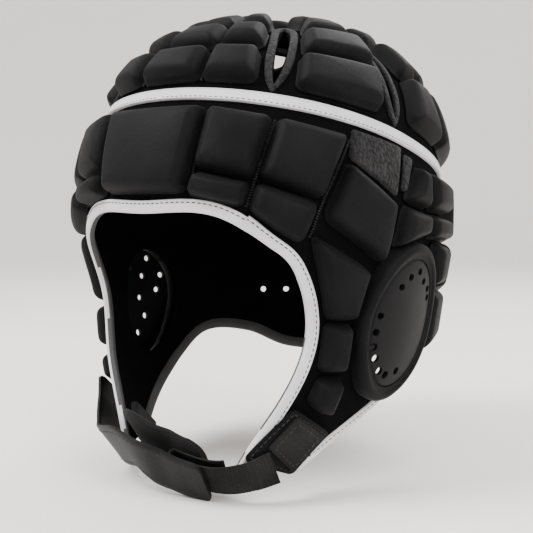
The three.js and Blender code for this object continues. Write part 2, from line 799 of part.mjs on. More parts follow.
// Flat ear cover with a ring of holes
function makeEarCover(side) {
  const steps = 24;
  const rims = [1, 0];
  const skin = new Skin();
  const layer = (base) => rims.map((rim) => {
    const ring = [];
    const bulge = earCoverBulge * (1 - rim * rim);
    for (let k = 0; k <= steps; k += 1) {
      const angle = ((k % steps) / steps) * 2 * Math.PI * (rim > 0 ? 1 : 0);
      const x = earCoverHalfWidth * rim * Math.sin(angle);
      const y = earCoverHalfHeight * rim * Math.cos(angle);
      ring.push(place(...earPoint(side, x, y), base + bulge));
    }
    return ring;
  });
  const top = layer(earCoverLift + earCoverThickness);
  const bottom = layer(earCoverLift);
  skin.grid(top);
  skin.grid(bottom, true);
  skin.grid([bottom[0], top[0]]);
  const plugs = earHoleRows.map(([across, high]) => {
    const [x, y] = [across * earCoverHalfWidth, high * earCoverHalfHeight];
    const outline = [];
    const sides = 6;
    for (let k = 0; k < sides; k += 1) {
      const angle = (k / sides) * 2 * Math.PI;
      outline.push(earPoint(
        side, x + earHoleRadius * Math.cos(angle), y + earHoleRadius * Math.sin(angle)));
    }
    return plug(outline, earCoverLift - 3, earCoverLift + earCoverThickness + 4);
  });
  return pierced(skin.geometry(), plugs);
}

// Middle line of one layer of the strap, moved outwards and along its width where it hangs free
function strapLine(startRows, endRows, outwards, raise) {
  const worn = ([turn, level, lift]) => place(turn, level, lift);
  const bare = strapRows.map(([side, ahead, drop]) => new THREE.Vector3(
    side * halfWidth, -ahead * browReach - crownLean, wall - crownRise - drop * sideDrop));
  const acrossAt = (tilt) => new THREE.Vector3(0, -Math.sin(tilt * degree), Math.cos(tilt * degree));
  const last = bare.length - 1;
  const free = bare.map((point, k) => {
    const tangent = bare[Math.min(k + 1, last)].clone().sub(bare[Math.max(k - 1, 0)]);
    const across = acrossAt(strapRows[k][3]);
    const out = new THREE.Vector3().crossVectors(across, tangent).normalize();
    return point.clone().addScaledVector(out, outwards).addScaledVector(across, raise);
  });
  const curve = new THREE.CatmullRomCurve3([...startRows.map(worn), ...free, ...endRows.map(worn)]);
  const tilts = [...startRows, ...strapRows, ...endRows].map((row) => row[3]);
  return (share, width) => {
    const step = Math.min(Math.floor(share * (tilts.length - 1)), tilts.length - 2);
    const tilt = lerp(tilts[step], tilts[step + 1], share * (tilts.length - 1) - step);
    const [centre, tangent] = [curve.getPoint(share), curve.getTangent(share)];
    return { centre, tangent, across: acrossAt(tilt), width };
  };
}

// Flat strip along stations of centre, tangent and width direction
function ribbon(stations, thickness) {
  const sections = stations.map(({ centre, tangent, across, width }) => {
    const out = new THREE.Vector3().crossVectors(across, tangent).normalize();
    const wide = new THREE.Vector3().crossVectors(tangent, out).normalize();
    const at = (w, n) => centre.clone().addScaledVector(wide, w * width / 2)
      .addScaledVector(out, n * thickness / 2);
    return [at(-1, -1), at(-1, 1), at(1, 1), at(1, -1)];
  });
  return sweep(sections, false);
}

// Elastic webbing: out of the anchor, under the flap and back on its inner side
function makeWebbing() {
  const [end, innerEnd] = [0.62, 0.3];
  const runSteps = 10;
  const turnSteps = 4;
  const outer = strapLine(webbingStartRows, [], 0, 0);
  const inner = strapLine(webbingStartRows, [], -webbingLoopGap, 0);
  const stations = [];
  for (let k = 0; k <= runSteps; k += 1) {
    stations.push(outer(lerp(0, end, k / runSteps), webbingWidth));
  }
  const last = stations[runSteps];
  const out = new THREE.Vector3().crossVectors(last.across, last.tangent).normalize();
  const radius = webbingLoopGap / 2;
  for (let k = 1; k < turnSteps; k += 1) {
    const angle = (k / turnSteps) * Math.PI;
    const centre = last.centre.clone().addScaledVector(out, radius * (Math.cos(angle) - 1))
      .addScaledVector(last.tangent, radius * Math.sin(angle));
    const tangent = last.tangent.clone().multiplyScalar(Math.cos(angle))
      .addScaledVector(out, -Math.sin(angle));
    stations.push({ ...last, centre, tangent });
  }
  for (let k = 0; k <= runSteps; k += 1) {
    const station = inner(lerp(end, innerEnd, k / runSteps), webbingWidth);
    stations.push({ ...station, tangent: station.tangent.negate() });
  }
  return ribbon(stations, webbingThickness);
}

// Strip along a line of the strap from one share to another, narrowed at its ends
function makeStrip(line, [from, to], width, thickness, narrowStart, narrowEnd) {
  const steps = 14;
  const ends = [0.64, 0.9];
  const stations = [];
  for (let k = 0; k <= steps; k += 1) {
    const step = Math.min(narrowStart ? k : steps, narrowEnd ? steps - k : steps);
    const share = step < ends.length ? ends[step] : 1;
    stations.push(line(lerp(from, to, k / steps), width * share));
  }
  return ribbon(stations, thickness);
}

// Sewn piece of cloth on the left cheek's tip between four corners
function makePatch(corners, lift, thickness) {
  const [t0, l0, t1, l1, t2, l2, t3, l3] = corners;
  const cells = 4;
  const layer = (height) => {
    const rows = [];
    for (let i = 0; i <= cells; i += 1) {
      const line = [];
      for (let j = 0; j <= cells; j += 1) {
        const [u, v] = [j / cells, i / cells];
        const turn = lerp(lerp(t0, t1, u), lerp(t2, t3, u), v);
        const level = lerp(lerp(l0, l1, u), lerp(l2, l3, u), v);
        line.push(place(turn, level, height));
      }
      rows.push(line);
    }
    return rows;
  };
  return slab(layer(lift + thickness), layer(lift));
}

// Colour, roughness and metalness of each material
const finishes = {
  foamCloth: [0x1b1c1e, 0.85, 0],
  lining: [0x0b0b0c, 0.95, 0],
  whiteTape: [0xd9d9dc, 0.7, 0],
  roughTape: [0x2a2b2d, 1, 0],
  leather: [0x1c1c1d, 0.6, 0],
  webbing: [0x202120, 0.9, 0],
};

function addPiece(group, name, geometry, finish) {
  const [color, roughness, metalness] = finishes[finish];
  geometry.computeVertexNormals();
  const material = new THREE.MeshStandardMaterial({ color, roughness, metalness });
  const mesh = new THREE.Mesh(geometry, material);
  mesh.name = name;
  group.add(mesh);
}

const cap = new THREE.Group();
const sides = { left: 1, right: -1 };

addPiece(cap, 'lining_shell', makeShell(), 'lining');

const pads = new THREE.Group();
cap.add(pads);
for (const [name, rows] of Object.entries(centrePanels)) {
  addPiece(pads, name, makePanel(rows, 1, padRise, padWeb), 'foamCloth');
}
for (const [name, rows] of Object.entries(sidePanels)) {
  for (const [word, side] of Object.entries(sides)) {
    let geometry = makePanel(rows, side, padRise, padWeb);
    if (name === 'flank_pad' || name === 'nape_side_pad') {
      const plugs = ventRows.map(([turn, level]) => (
        plug(roundOutline(side * turn, level, ventHoleRadius, 8), -1, padRise)));
      geometry = pierced(geometry, plugs);
    }
    addPiece(pads, `${name}_${word}`, geometry, 'foamCloth');
  }
}
addPiece(pads, 'crown_top_pad', makeCrownTop(), 'foamCloth');

const trim = new THREE.Group();
cap.add(trim);
addPiece(trim, 'crown_band', makeBand(), 'whiteTape');
const faceRim = faceShares();
const neckRim = neckShares();
const rightCheek = faceRim.cheek.map((share) => 1 - share).reverse();
const faceStations = [...rightCheek.slice(0, -1), ...faceRim.brow, ...faceRim.cheek.slice(1)];
addPiece(trim, 'face_binding', makeBinding(faceRim.edge, faceStations), 'whiteTape');
addPiece(trim, 'neck_binding', makeBinding(neckRim.edge, neckRim.shares), 'whiteTape');
for (const [word, side] of Object.entries(sides)) {
  for (const [name, row] of Object.entries(slotRows)) {
    addPiece(trim, `slot_edging_${name}_${word}`, makeEdging(row, side), 'roughTape');
  }
  for (const [name, rows] of Object.entries(insetPanels)) {
    addPiece(trim, `${name}_${word}`, makeInset(rows[0], side), 'roughTape');
  }
}

const ears = new THREE.Group();
cap.add(ears);
for (const [word, side] of Object.entries(sides)) {
  addPiece(ears, `ear_roll_${word}`, makeEarRoll(side), 'foamCloth');
  addPiece(ears, `ear_cover_${word}`, makeEarCover(side), 'leather');
}

const strap = new THREE.Group();
cap.add(strap);
addPiece(strap, 'strap_anchor', makePatch(anchorCorners, anchorLift, anchorThickness), 'foamCloth');
const pocketLift = anchorLift + anchorThickness + seat;
addPiece(strap, 'anchor_pocket', makePatch(pocketCorners, pocketLift, pocketThickness), 'webbing');
addPiece(strap, 'elastic_webbing', makeWebbing(), 'webbing');
const flapLine = strapLine([], flapEndRows, flapOffset, 0);
const tabLine = strapLine([], tabEndRows, tabOffset, tabRaise);
addPiece(
  strap, 'closure_flap',
  makeStrip(flapLine, [0.17, 0.99], flapWidth, flapThickness, true, true), 'leather');
addPiece(
  strap, 'closure_tab',
  makeStrip(tabLine, [0.19, 1], tabWidth, tabThickness, true, false), 'foamCloth');

export default cap;
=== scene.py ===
import math

import bmesh
import bpy
import numpy as np
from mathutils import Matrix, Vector
from mathutils.kdtree import KDTree


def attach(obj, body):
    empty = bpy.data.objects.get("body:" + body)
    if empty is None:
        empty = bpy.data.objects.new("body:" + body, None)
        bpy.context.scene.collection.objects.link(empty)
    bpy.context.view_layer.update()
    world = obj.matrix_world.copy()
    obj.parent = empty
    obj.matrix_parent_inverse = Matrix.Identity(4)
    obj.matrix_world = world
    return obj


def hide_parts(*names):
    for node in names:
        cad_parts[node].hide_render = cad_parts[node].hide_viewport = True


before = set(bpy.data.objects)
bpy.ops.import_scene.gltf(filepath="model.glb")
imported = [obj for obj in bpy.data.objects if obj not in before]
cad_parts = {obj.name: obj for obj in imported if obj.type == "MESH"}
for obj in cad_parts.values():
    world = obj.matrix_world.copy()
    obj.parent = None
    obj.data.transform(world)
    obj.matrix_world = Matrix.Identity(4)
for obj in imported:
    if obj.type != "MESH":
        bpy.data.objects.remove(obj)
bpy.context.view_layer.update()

# Camera, light and floor
# The view is the photograph's: from the wearer's front left, almost level, on a pale
# seamless ground that starts just below the chin strap. Two large soft lights from above.

cam_data = bpy.data.cameras.new("photo_camera")
cam_data.lens = 60.83
cam_data.sensor_width = 36
camera = bpy.data.objects.new("photo_camera", cam_data)
bpy.context.scene.collection.objects.link(camera)
aim = Vector((-0.0003, -0.0077, -0.1294))
camera.location = Vector((0.2988, -0.4345, -0.0953))
camera.rotation_euler = (aim - camera.location).to_track_quat("-Z", "Y").to_euler()
bpy.context.scene.camera = camera


def new_mesh(name, points, faces, smooth=True, sharp=None):
    """One mesh object from points in metres and faces given as rows of point numbers."""
    mesh = bpy.data.meshes.new(name)
    mesh.from_pydata(np.asarray(points).tolist(), [], [list(map(int, f)) for f in faces])
    mesh.validate()
    mesh.polygons.foreach_set("use_smooth", np.full(len(mesh.polygons), smooth))
    if sharp is not None:
        mesh.set_sharp_from_angle(angle=math.radians(sharp))
    mesh.update()
    piece = bpy.data.objects.new(name, mesh)
    bpy.context.scene.collection.objects.link(piece)
    return piece


def make_floor():
    """Seamless bowl turned about Z: flat to 2 m, a 1 m fillet, then a wall 2.4 m high."""
    angle = np.linspace(0, np.pi / 2, 16)
    radius = np.concatenate([[0.001, 1], 2 + np.sin(angle), [3]])
    height = np.concatenate([[0, 0], 1 - np.cos(angle), [2.4]]) - 0.2425
    around = np.linspace(0, 2 * np.pi, 97)
    points = np.stack([radius[:, None] * np.cos(around), radius[:, None] * np.sin(around),
                       height[:, None] + 0 * around], -1).reshape(-1, 3)
    columns = len(around)
    faces = [(a, a + 1, a + columns + 1, a + columns) for row in range(len(radius) - 1)
             for a in range(row * columns, (row + 1) * columns - 1)]
    floor = new_mesh("floor", points, faces)
    material = bpy.data.materials.new("floor_paper")
    material.use_nodes = True
    shader = material.node_tree.nodes["Principled BSDF"]
    shader.inputs["Base Color"].default_value = (0.83, 0.8, 0.775, 1)
    shader.inputs["Roughness"].default_value = 0.9
    floor.data.materials.append(material)


def add_light(name, place, target, size, power):
    """Round area light of a size in metres and a power in watts, turned to its target."""
    data = bpy.data.lights.new(name, "AREA")
    data.shape = "DISK"
    data.size = size
    data.energy = power
    lamp = bpy.data.objects.new(name, data)
    lamp.location = place
    lamp.rotation_euler = (Vector(target) - Vector(place)).to_track_quat("-Z", "Y").to_euler()
    bpy.context.scene.collection.objects.link(lamp)


make_floor()
add_light("key", (-0.55, -0.75, 0.95), (0, 0, -0.1), 0.7, 30)
add_light("fill", (1.0, -0.35, 0.55), (0, 0, -0.1), 0.9, 13)
add_light("back", (0.1, 0.9, 0.9), (0, 0, 0), 0.9, 13)
world = bpy.data.worlds.new("studio")
world.use_nodes = True
world.node_tree.nodes["Background"].inputs["Color"].default_value = (0.93, 0.92, 0.91, 1)
world.node_tree.nodes["Background"].inputs["Strength"].default_value = 1.75
bpy.context.scene.world = world

# Black cloth shell
# Laminated cloth with the lining, 2 mm thick, cut to the face opening and the neck edge.
# Slots, ear openings and four vents are cut through it. Places on it are a turn in degrees
# (0 at the brow, 90 at the left ear) and a level (0 on top, 1 at the girth).

GIRTHS = np.array([[0, 1, 1, 1], [.267, .947, .915, .967], [.533, .888, .908, .867],
                   [.8, .713, .908, .715], [1, .598, .882, .545]])
WALL = 2.0
HALF_WIDTH = 92.3
FRONT_REACH = 105.5
BACK_REACH = 108.7
DOME_HEIGHT = 107.5
SIDE_DROP = 138.0
WIDEST_Z = -105.5


def girth_share(drop, column):
    """Cubic Hermite through the girth rows, level at the first row."""
    xs, ys = GIRTHS[:, 0], GIRTHS[:, column]
    slopes = np.zeros(5)
    slopes[1:4] = (ys[2:] - ys[:-2]) / (xs[2:] - xs[:-2])
    slopes[4] = (ys[4] - ys[3]) / (xs[4] - xs[3])
    row = np.clip(np.searchsorted(xs, drop, side="right") - 1, 0, 3)
    span = xs[row + 1] - xs[row]
    t = np.minimum((drop - xs[row]) / span, 1.2)
    return (ys[row] * (1 + 2 * t) * (1 - t) ** 2 + ys[row + 1] * t * t * (3 - 2 * t)
            + slopes[row] * span * t * (1 - t) ** 2 + slopes[row + 1] * span * t * t * (t - 1))


def shell_point(turn, level):
    """Superellipse in plan (power 2.15) and in the dome's profile (power 2.6), in mm."""
    turn, level = np.broadcast_arrays(np.asarray(turn, float), np.asarray(level, float))
    lean = np.clip(level, 0, 1) * np.pi / 2
    s, c = np.sin(lean), np.maximum(np.cos(lean), 0)
    r = (s ** 2.6 + c ** 2.6) ** (-1 / 2.6)
    drop = np.maximum(level - 1, 0)
    z = np.where(level <= 1, DOME_HEIGHT * r * c, -SIDE_DROP * drop)
    share = [np.where(level <= 1, r * s, girth_share(drop, k)) for k in (1, 2, 3)]
    side, ahead = np.sin(np.radians(turn)), np.cos(np.radians(turn))
    oval = (np.abs(side) ** 2.15 + np.abs(ahead) ** 2.15) ** (-1 / 2.15)
    reach = np.where(ahead > 0, FRONT_REACH * share[1], BACK_REACH * share[2])
    up = np.clip(z / 107.5, 0, 1)
    y = -reach * oval * ahead + 7.1 * (up * up * (3 - 2 * up) - 1)
    return np.stack([HALF_WIDTH * share[0] * oval * side, y, z + WIDEST_Z], -1)


def tangents(turn, level):
    """Finite differences of shell_point per degree of turn and per level."""
    low = np.maximum(level, 0.001)
    along = (shell_point(turn + 0.05, low) - shell_point(turn - 0.05, low)) / 0.1
    down = (shell_point(turn, low + 0.001) - shell_point(turn, low - 0.001)) / 0.002
    return along, down


def place(turn, level, lift):
    """Point in mm at a lift along the shell's outward normal."""
    turn, level, lift = np.broadcast_arrays(*(np.asarray(v, float) for v in (turn, level, lift)))
    along, down = tangents(turn, level)
    normal = np.cross(down, along)
    normal /= np.maximum(np.linalg.norm(normal, axis=-1, keepdims=True), 1e-9)
    normal = np.where((level < 0.004)[..., None], np.array([0, 0, 1.0]), normal)
    return shell_point(turn, level) + normal * lift[..., None]


def walk(turn, level, sideways, upwards):
    """Turn and level after going sideways and up by lengths in mm."""
    along, down = tangents(turn, level)
    return (turn + sideways / np.linalg.norm(along, axis=-1),
            level - upwards / np.linalg.norm(down, axis=-1))


FACE_EDGE = [(0, .957), (18.4, .954), (29, .984), (38, 1.052), (45.5, 1.145), (49.7, 1.364),
             (44.3, 1.619), (34.8, 1.861)]
FACE_EDGE = [(-t, l) for t, l in FACE_EDGE[:0:-1]] + FACE_EDGE
NECK_EDGE = [(58.9, 1.898), (76.2, 1.761), (97.6, 1.619), (114.1, 1.517), (132.3, 1.532),
             (150.7, 1.607), (180, 1.616)]
NECK_EDGE = NECK_EDGE + [(360 - t, l) for t, l in NECK_EDGE[-2::-1]]


def spline(rows, share):
    """Uniform Catmull-Rom curve through the rows, with its slope, at shares 0 to 1."""
    rows = np.array(rows, float)
    n = len(rows)
    p = np.asarray(share, float) * (n - 1)
    k = np.clip(np.floor(p).astype(int), 0, n - 2)
    w = (p - k)[..., None]
    p0, p1 = rows[np.maximum(k - 1, 0)], rows[k]
    p2, p3 = rows[k + 1], rows[np.minimum(k + 2, n - 1)]
    v0, v1 = (p2 - p0) / 2, (p3 - p1) / 2
    a, b = 2 * p1 - 2 * p2 + v0 + v1, -3 * p1 + 3 * p2 - 2 * v0 - v1
    return ((a * w + b) * w + v0) * w + p1, (3 * a * w + 2 * b) * w + v0


def inset_edge(rows, share, inset):
    """Turn and level of an edge moved into the shell by an inset in mm."""
    at, slope = spline(rows, share)
    along, down = tangents(at[..., 0], at[..., 1])
    run = slope * np.stack([np.linalg.norm(along, axis=-1), np.linalg.norm(down, axis=-1)], -1)
    run /= np.linalg.norm(run, axis=-1, keepdims=True)
    return walk(at[..., 0], at[..., 1], run[..., 1] * inset, run[..., 0] * inset)


def grid_faces(rows, columns, start=0, flip=False):
    """Quads of a grid of points whose numbers run along its rows."""
    i, j = np.meshgrid(np.arange(rows - 1), np.arange(columns - 1), indexing="ij")
    a = start + i * columns + j
    quads = np.stack([a, a + 1, a + columns + 1, a + columns], -1).reshape(-1, 4)
    return quads[:, ::-1] if flip else quads


def welded(name, points, faces, sharp=None):
    """Mesh object with equal points joined, faces turned outwards, and flat ends removed."""
    piece = new_mesh(name, np.asarray(points) / 1000, faces, True, None)
    bm = bmesh.new()
    bm.from_mesh(piece.data)
    bmesh.ops.remove_doubles(bm, verts=bm.verts, dist=1e-6)
    bmesh.ops.dissolve_degenerate(bm, dist=1e-7, edges=bm.edges)
    bmesh.ops.recalc_face_normals(bm, faces=bm.faces)
    bm.to_mesh(piece.data)
    bm.free()
    if sharp is not None:
        piece.data.set_sharp_from_angle(angle=math.radians(sharp))
    return piece


def plug(name, turns, levels, low, high):
    """Closed plug through the shell inside an outline of turns and levels."""
    n = len(turns)
    upper, lower = place(turns, levels, high), place(turns, levels, low)
    points = np.concatenate([upper, lower, upper.mean(0)[None], lower.mean(0)[None]])
    faces = []
    for k in range(n):
        m = (k + 1) % n
        faces += [(k, n + k, n + m, m), (2 * n, k, m), (2 * n + 1, n + m, n + k)]
    return welded(name, points, faces)


def cut(piece, plugs, sharp):
    """Takes the plugs out of a piece by exact booleans and removes them."""
    for tool in plugs:
        modifier = piece.modifiers.new("hole", "BOOLEAN")
        modifier.operation = "DIFFERENCE"
        modifier.solver = "EXACT"
        modifier.object = tool
    graph = bpy.context.evaluated_depsgraph_get()
    mesh = bpy.data.meshes.new_from_object(piece.evaluated_get(graph))
    piece.modifiers.clear()
    piece.data = mesh
    mesh.polygons.foreach_set("use_smooth", np.full(len(mesh.polygons), True))
    mesh.set_sharp_from_angle(angle=math.radians(sharp))
    for tool in plugs:
        bpy.data.objects.remove(tool)


SLOTS = {
    "front": (38.6, .597, 45.5, .25, 3.1, 2, -.17),
    "side": (82.2, .68, 90, .4, 2.48, 2, .07),
    "rear": (141, .345, 149, .12, 4.6, 6, 2),
}


def slot_outline(row, side, low, high, widen, steps):
    """Lens of a slot: its width falls off with a power of the way from its middle."""
    foot_turn, foot_level, top_turn, top_level, half, blunt, _ = row
    length = np.linalg.norm(shell_point(foot_turn, foot_level) - shell_point(top_turn, top_level))
    reach = 1 + 2 * widen / length
    sharpness = blunt * 2 if widen > 0 else blunt
    k = np.linspace(0, 1, steps, endpoint=False)
    along = np.concatenate([low + (high - low) * k, high + (low - high) * k])
    across = np.concatenate([np.ones(steps), -np.ones(steps)])
    part = (along * reach + 1) / 2
    turn = foot_turn + (top_turn - foot_turn) * part
    level = foot_level + (top_level - foot_level) * part
    width = (half + widen) * (1 - np.abs(along) ** sharpness)
    turn, level = walk(turn, level, across * width, np.zeros_like(width))
    return side * turn, level


def ear_point(side, x, y):
    """Place beside an ear, x to the back and y up in a frame that leans back by 13 degrees."""
    tilt = math.radians(13)
    back = x * math.cos(tilt) + y * math.sin(tilt)
    up = -x * math.sin(tilt) + y * math.cos(tilt)
    per_turn = HALF_WIDTH * math.radians(1) * girth_share(np.array(.343), 1)
    return side * (EAR_TURN + back / per_turn), EAR_LEVEL - up / SIDE_DROP


VENTS = [(138.3, 1.333), (148, 1.333)]
VENT_RADIUS = 2
EAR_TURN = 84
EAR_LEVEL = 1.343
EAR_OPENING = (21.2, 31.6)


def round_outline(turn, level, radius, steps):
    """Circle of a radius in mm on the shell, as turns and levels."""
    angle = np.linspace(0, 2 * np.pi, steps, endpoint=False)
    return walk(turn + 0 * angle, level + 0 * angle, radius * np.cos(angle), radius * np.sin(angle))


def make_shell():
    """Crown grid and a Coons blend below the girth, outside and 2 mm further in."""
    shares = np.linspace(.5, 1, 1501)
    _, level = inset_edge(FACE_EDGE, shares, 5.4)
    corner = shares[np.argmax(level[150:] > 1) + 150]
    brow = np.stack(inset_edge(FACE_EDGE, np.linspace(1 - corner, corner, 45), 5.4), -1)
    rows = 64
    cheek = np.stack(inset_edge(FACE_EDGE, np.linspace(corner, 1, rows + 1), 5.4), -1)
    dense = np.stack(inset_edge(NECK_EDGE, np.linspace(0, 1, 3001), 5.4), -1)
    nape_turn = np.linspace(dense[0, 0], 360 - dense[0, 0], 131)
    nape = np.stack([nape_turn, np.interp(nape_turn, dense[:, 0], dense[:, 1])], -1)
    tip = np.linspace(cheek[-1], nape[0], 9)[:-1]
    other = np.stack([360 - tip[::-1, 0], tip[::-1, 1]], -1)
    foot = np.concatenate([tip, nape, other])
    columns = len(foot)
    s = np.linspace(0, 1, columns)[None, :, None]
    w = np.linspace(0, 1, rows + 1)[:, None, None]
    start = brow[-1, 0]
    girth = np.stack([np.linspace(start, 360 - start, columns), np.ones(columns)], -1)[None]
    left = cheek[:, None]
    right = np.stack([360 - cheek[:, 0], cheek[:, 1]], -1)[:, None]
    ruled = (1 - w) * girth + w * foot[None] + (1 - s) * left + s * right
    corners = ((1 - s) * (1 - w) * girth[:, :1] + s * (1 - w) * girth[:, -1:]
               + (1 - s) * w * foot[None, :1] + s * w * foot[None, -1:])
    drop = ruled - corners
    ring = np.concatenate([brow[:-1], girth[0]])
    crown = np.linspace(0, 1, 45)[:, None]
    points, faces, count = [], [], 0
    for lift, flip in ((0, False), (-WALL, True)):
        dome = place(ring[None, :, 0] + 0 * crown, ring[None, :, 1] * crown, lift)
        dome[0] = dome[0, 0]
        lower = place(drop[..., 0], drop[..., 1], lift)
        for block in (dome, lower):
            points.append(block.reshape(-1, 3))
            faces.append(grid_faces(*block.shape[:2], count, flip))
            count += block.shape[0] * block.shape[1]
        rim = np.concatenate([lower[::-1, 0], dome[-1, :45][::-1], lower[:, -1], lower[-1, ::-1]])
        rims = [rim] if flip is False else rims + [rim]
    walls = np.concatenate([np.stack(rims).reshape(-1, 3)])
    points.append(walls)
    faces.append(grid_faces(2, len(rims[0]), count))
    shell = welded("cloth_shell", np.concatenate(points), np.concatenate(faces))
    plugs = []
    for side in (1, -1):
        for row in SLOTS.values():
            length = np.linalg.norm(shell_point(row[0], row[1]) - shell_point(row[2], row[3]))
            gap = 2.2 / length
            spans = [(-1, 1)] if row[6] > 1 else [(-1, row[6] - gap), (row[6] + gap, 1)]
            for low, high in spans:
                outline = slot_outline(row, side, low, high, 0, 14)
                plugs.append(plug("plug", *outline, -6, 4))
        angle = np.linspace(0, 2 * np.pi, 48, endpoint=False)
        outline = ear_point(side, EAR_OPENING[0] * np.sin(angle), EAR_OPENING[1] * np.cos(angle))
        plugs.append(plug("plug", *outline, -10, 8))
        for turn, level in VENTS:
            plugs.append(plug("plug", *round_outline(side * turn, level, VENT_RADIUS, 20), -6, 4))
    cut(shell, plugs, 40)
    return shell


def cloth(name, colour, rough, grain, grain_mm, wrinkle, sheen=0.0, light=None, weave=None,
          gloss=.15):
    """Cloth: a fine noise or a weave of two waves in the bump, soft larger creases, and a
    slow change of tone. colour and light are the two tones mixed where the noises are high: the
    fibre's own tones, and on the looped cloth also a painted highlight on its raised loops."""
    material = bpy.data.materials.new(name)
    material.use_nodes = True
    tree = material.node_tree
    nodes, links = tree.nodes, tree.links
    shader = nodes["Principled BSDF"]
    where = nodes.new("ShaderNodeTexCoord")
    fine = nodes.new("ShaderNodeTexNoise")
    fine.inputs["Scale"].default_value = 1000 / grain_mm
    fine.inputs["Detail"].default_value = 3
    links.new(where.outputs["Object"], fine.inputs["Vector"])
    slow = nodes.new("ShaderNodeTexNoise")
    slow.inputs["Scale"].default_value = 45
    slow.inputs["Detail"].default_value = 4
    links.new(where.outputs["Object"], slow.inputs["Vector"])
    tone = nodes.new("ShaderNodeMix")
    tone.data_type = "RGBA"
    tone.inputs["A"].default_value = (*colour, 1)
    tone.inputs["B"].default_value = (*(light or [c * 1.35 for c in colour]), 1)
    blend = nodes.new("ShaderNodeMath")
    blend.operation = "MULTIPLY"
    links.new(fine.outputs["Fac"], blend.inputs[0])
    links.new(slow.outputs["Fac"], blend.inputs[1])
    span = nodes.new("ShaderNodeMapRange")
    span.inputs["From Min"].default_value = 0.12
    span.inputs["From Max"].default_value = 0.42
    links.new(blend.outputs[0], span.inputs["Value"])
    links.new(span.outputs["Result"], tone.inputs["Factor"])
    links.new(tone.outputs["Result"], shader.inputs["Base Color"])
    height = fine.outputs["Fac"]
    if weave:
        total = None
        for axis, pitch in zip(("X", "Z"), weave):
            wave = nodes.new("ShaderNodeTexWave")
            wave.bands_direction = axis
            wave.inputs["Scale"].default_value = 314 / pitch / 10
            wave.inputs["Distortion"].default_value = 0.4
            links.new(where.outputs["Object"], wave.inputs["Vector"])
            if total is None:
                total = wave.outputs["Fac"]
            else:
                both = nodes.new("ShaderNodeMath")
                both.operation = "MULTIPLY_ADD"
                links.new(total, both.inputs[0])
                links.new(wave.outputs["Fac"], both.inputs[1])
                links.new(fine.outputs["Fac"], both.inputs[2])
                height = both.outputs[0]
    bump = nodes.new("ShaderNodeBump")
    bump.inputs["Strength"].default_value = 1
    bump.inputs["Distance"].default_value = grain / 1000
    links.new(height, bump.inputs["Height"])
    fold = nodes.new("ShaderNodeBump")
    fold.inputs["Strength"].default_value = 1
    fold.inputs["Distance"].default_value = wrinkle / 1000
    links.new(slow.outputs["Fac"], fold.inputs["Height"])
    links.new(bump.outputs["Normal"], fold.inputs["Normal"])
    links.new(fold.outputs["Normal"], shader.inputs["Normal"])
    shader.inputs["Roughness"].default_value = rough
    shader.inputs["Sheen Weight"].default_value = sheen
    shader.inputs["Sheen Roughness"].default_value = 0.5
    shader.inputs["Specular IOR Level"].default_value = gloss
    return material


def dress(piece, material, slot, *nodes, pad=None):
    """Gives a piece its material, its body and the nodes that it stands for, which it hides; the
    slot argument is not used.
    """
    piece.data.materials.clear()
    piece.data.materials.append(material)
    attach(piece, "root")
    if nodes:
        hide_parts(*nodes)


shell = make_shell()
lining_cloth = cloth("lining_cloth", (.0022, .0022, .0024), .95, .12, .8, .15, gloss=.02)
dress(shell, lining_cloth, "lining", "lining_shell")

# Foam blocks
# Closed-cell foam moulded into blocks under one stretched knitted cloth, which is stitched
# down between them. Each block has steep sides, a rounded top edge and a slightly crowned top.

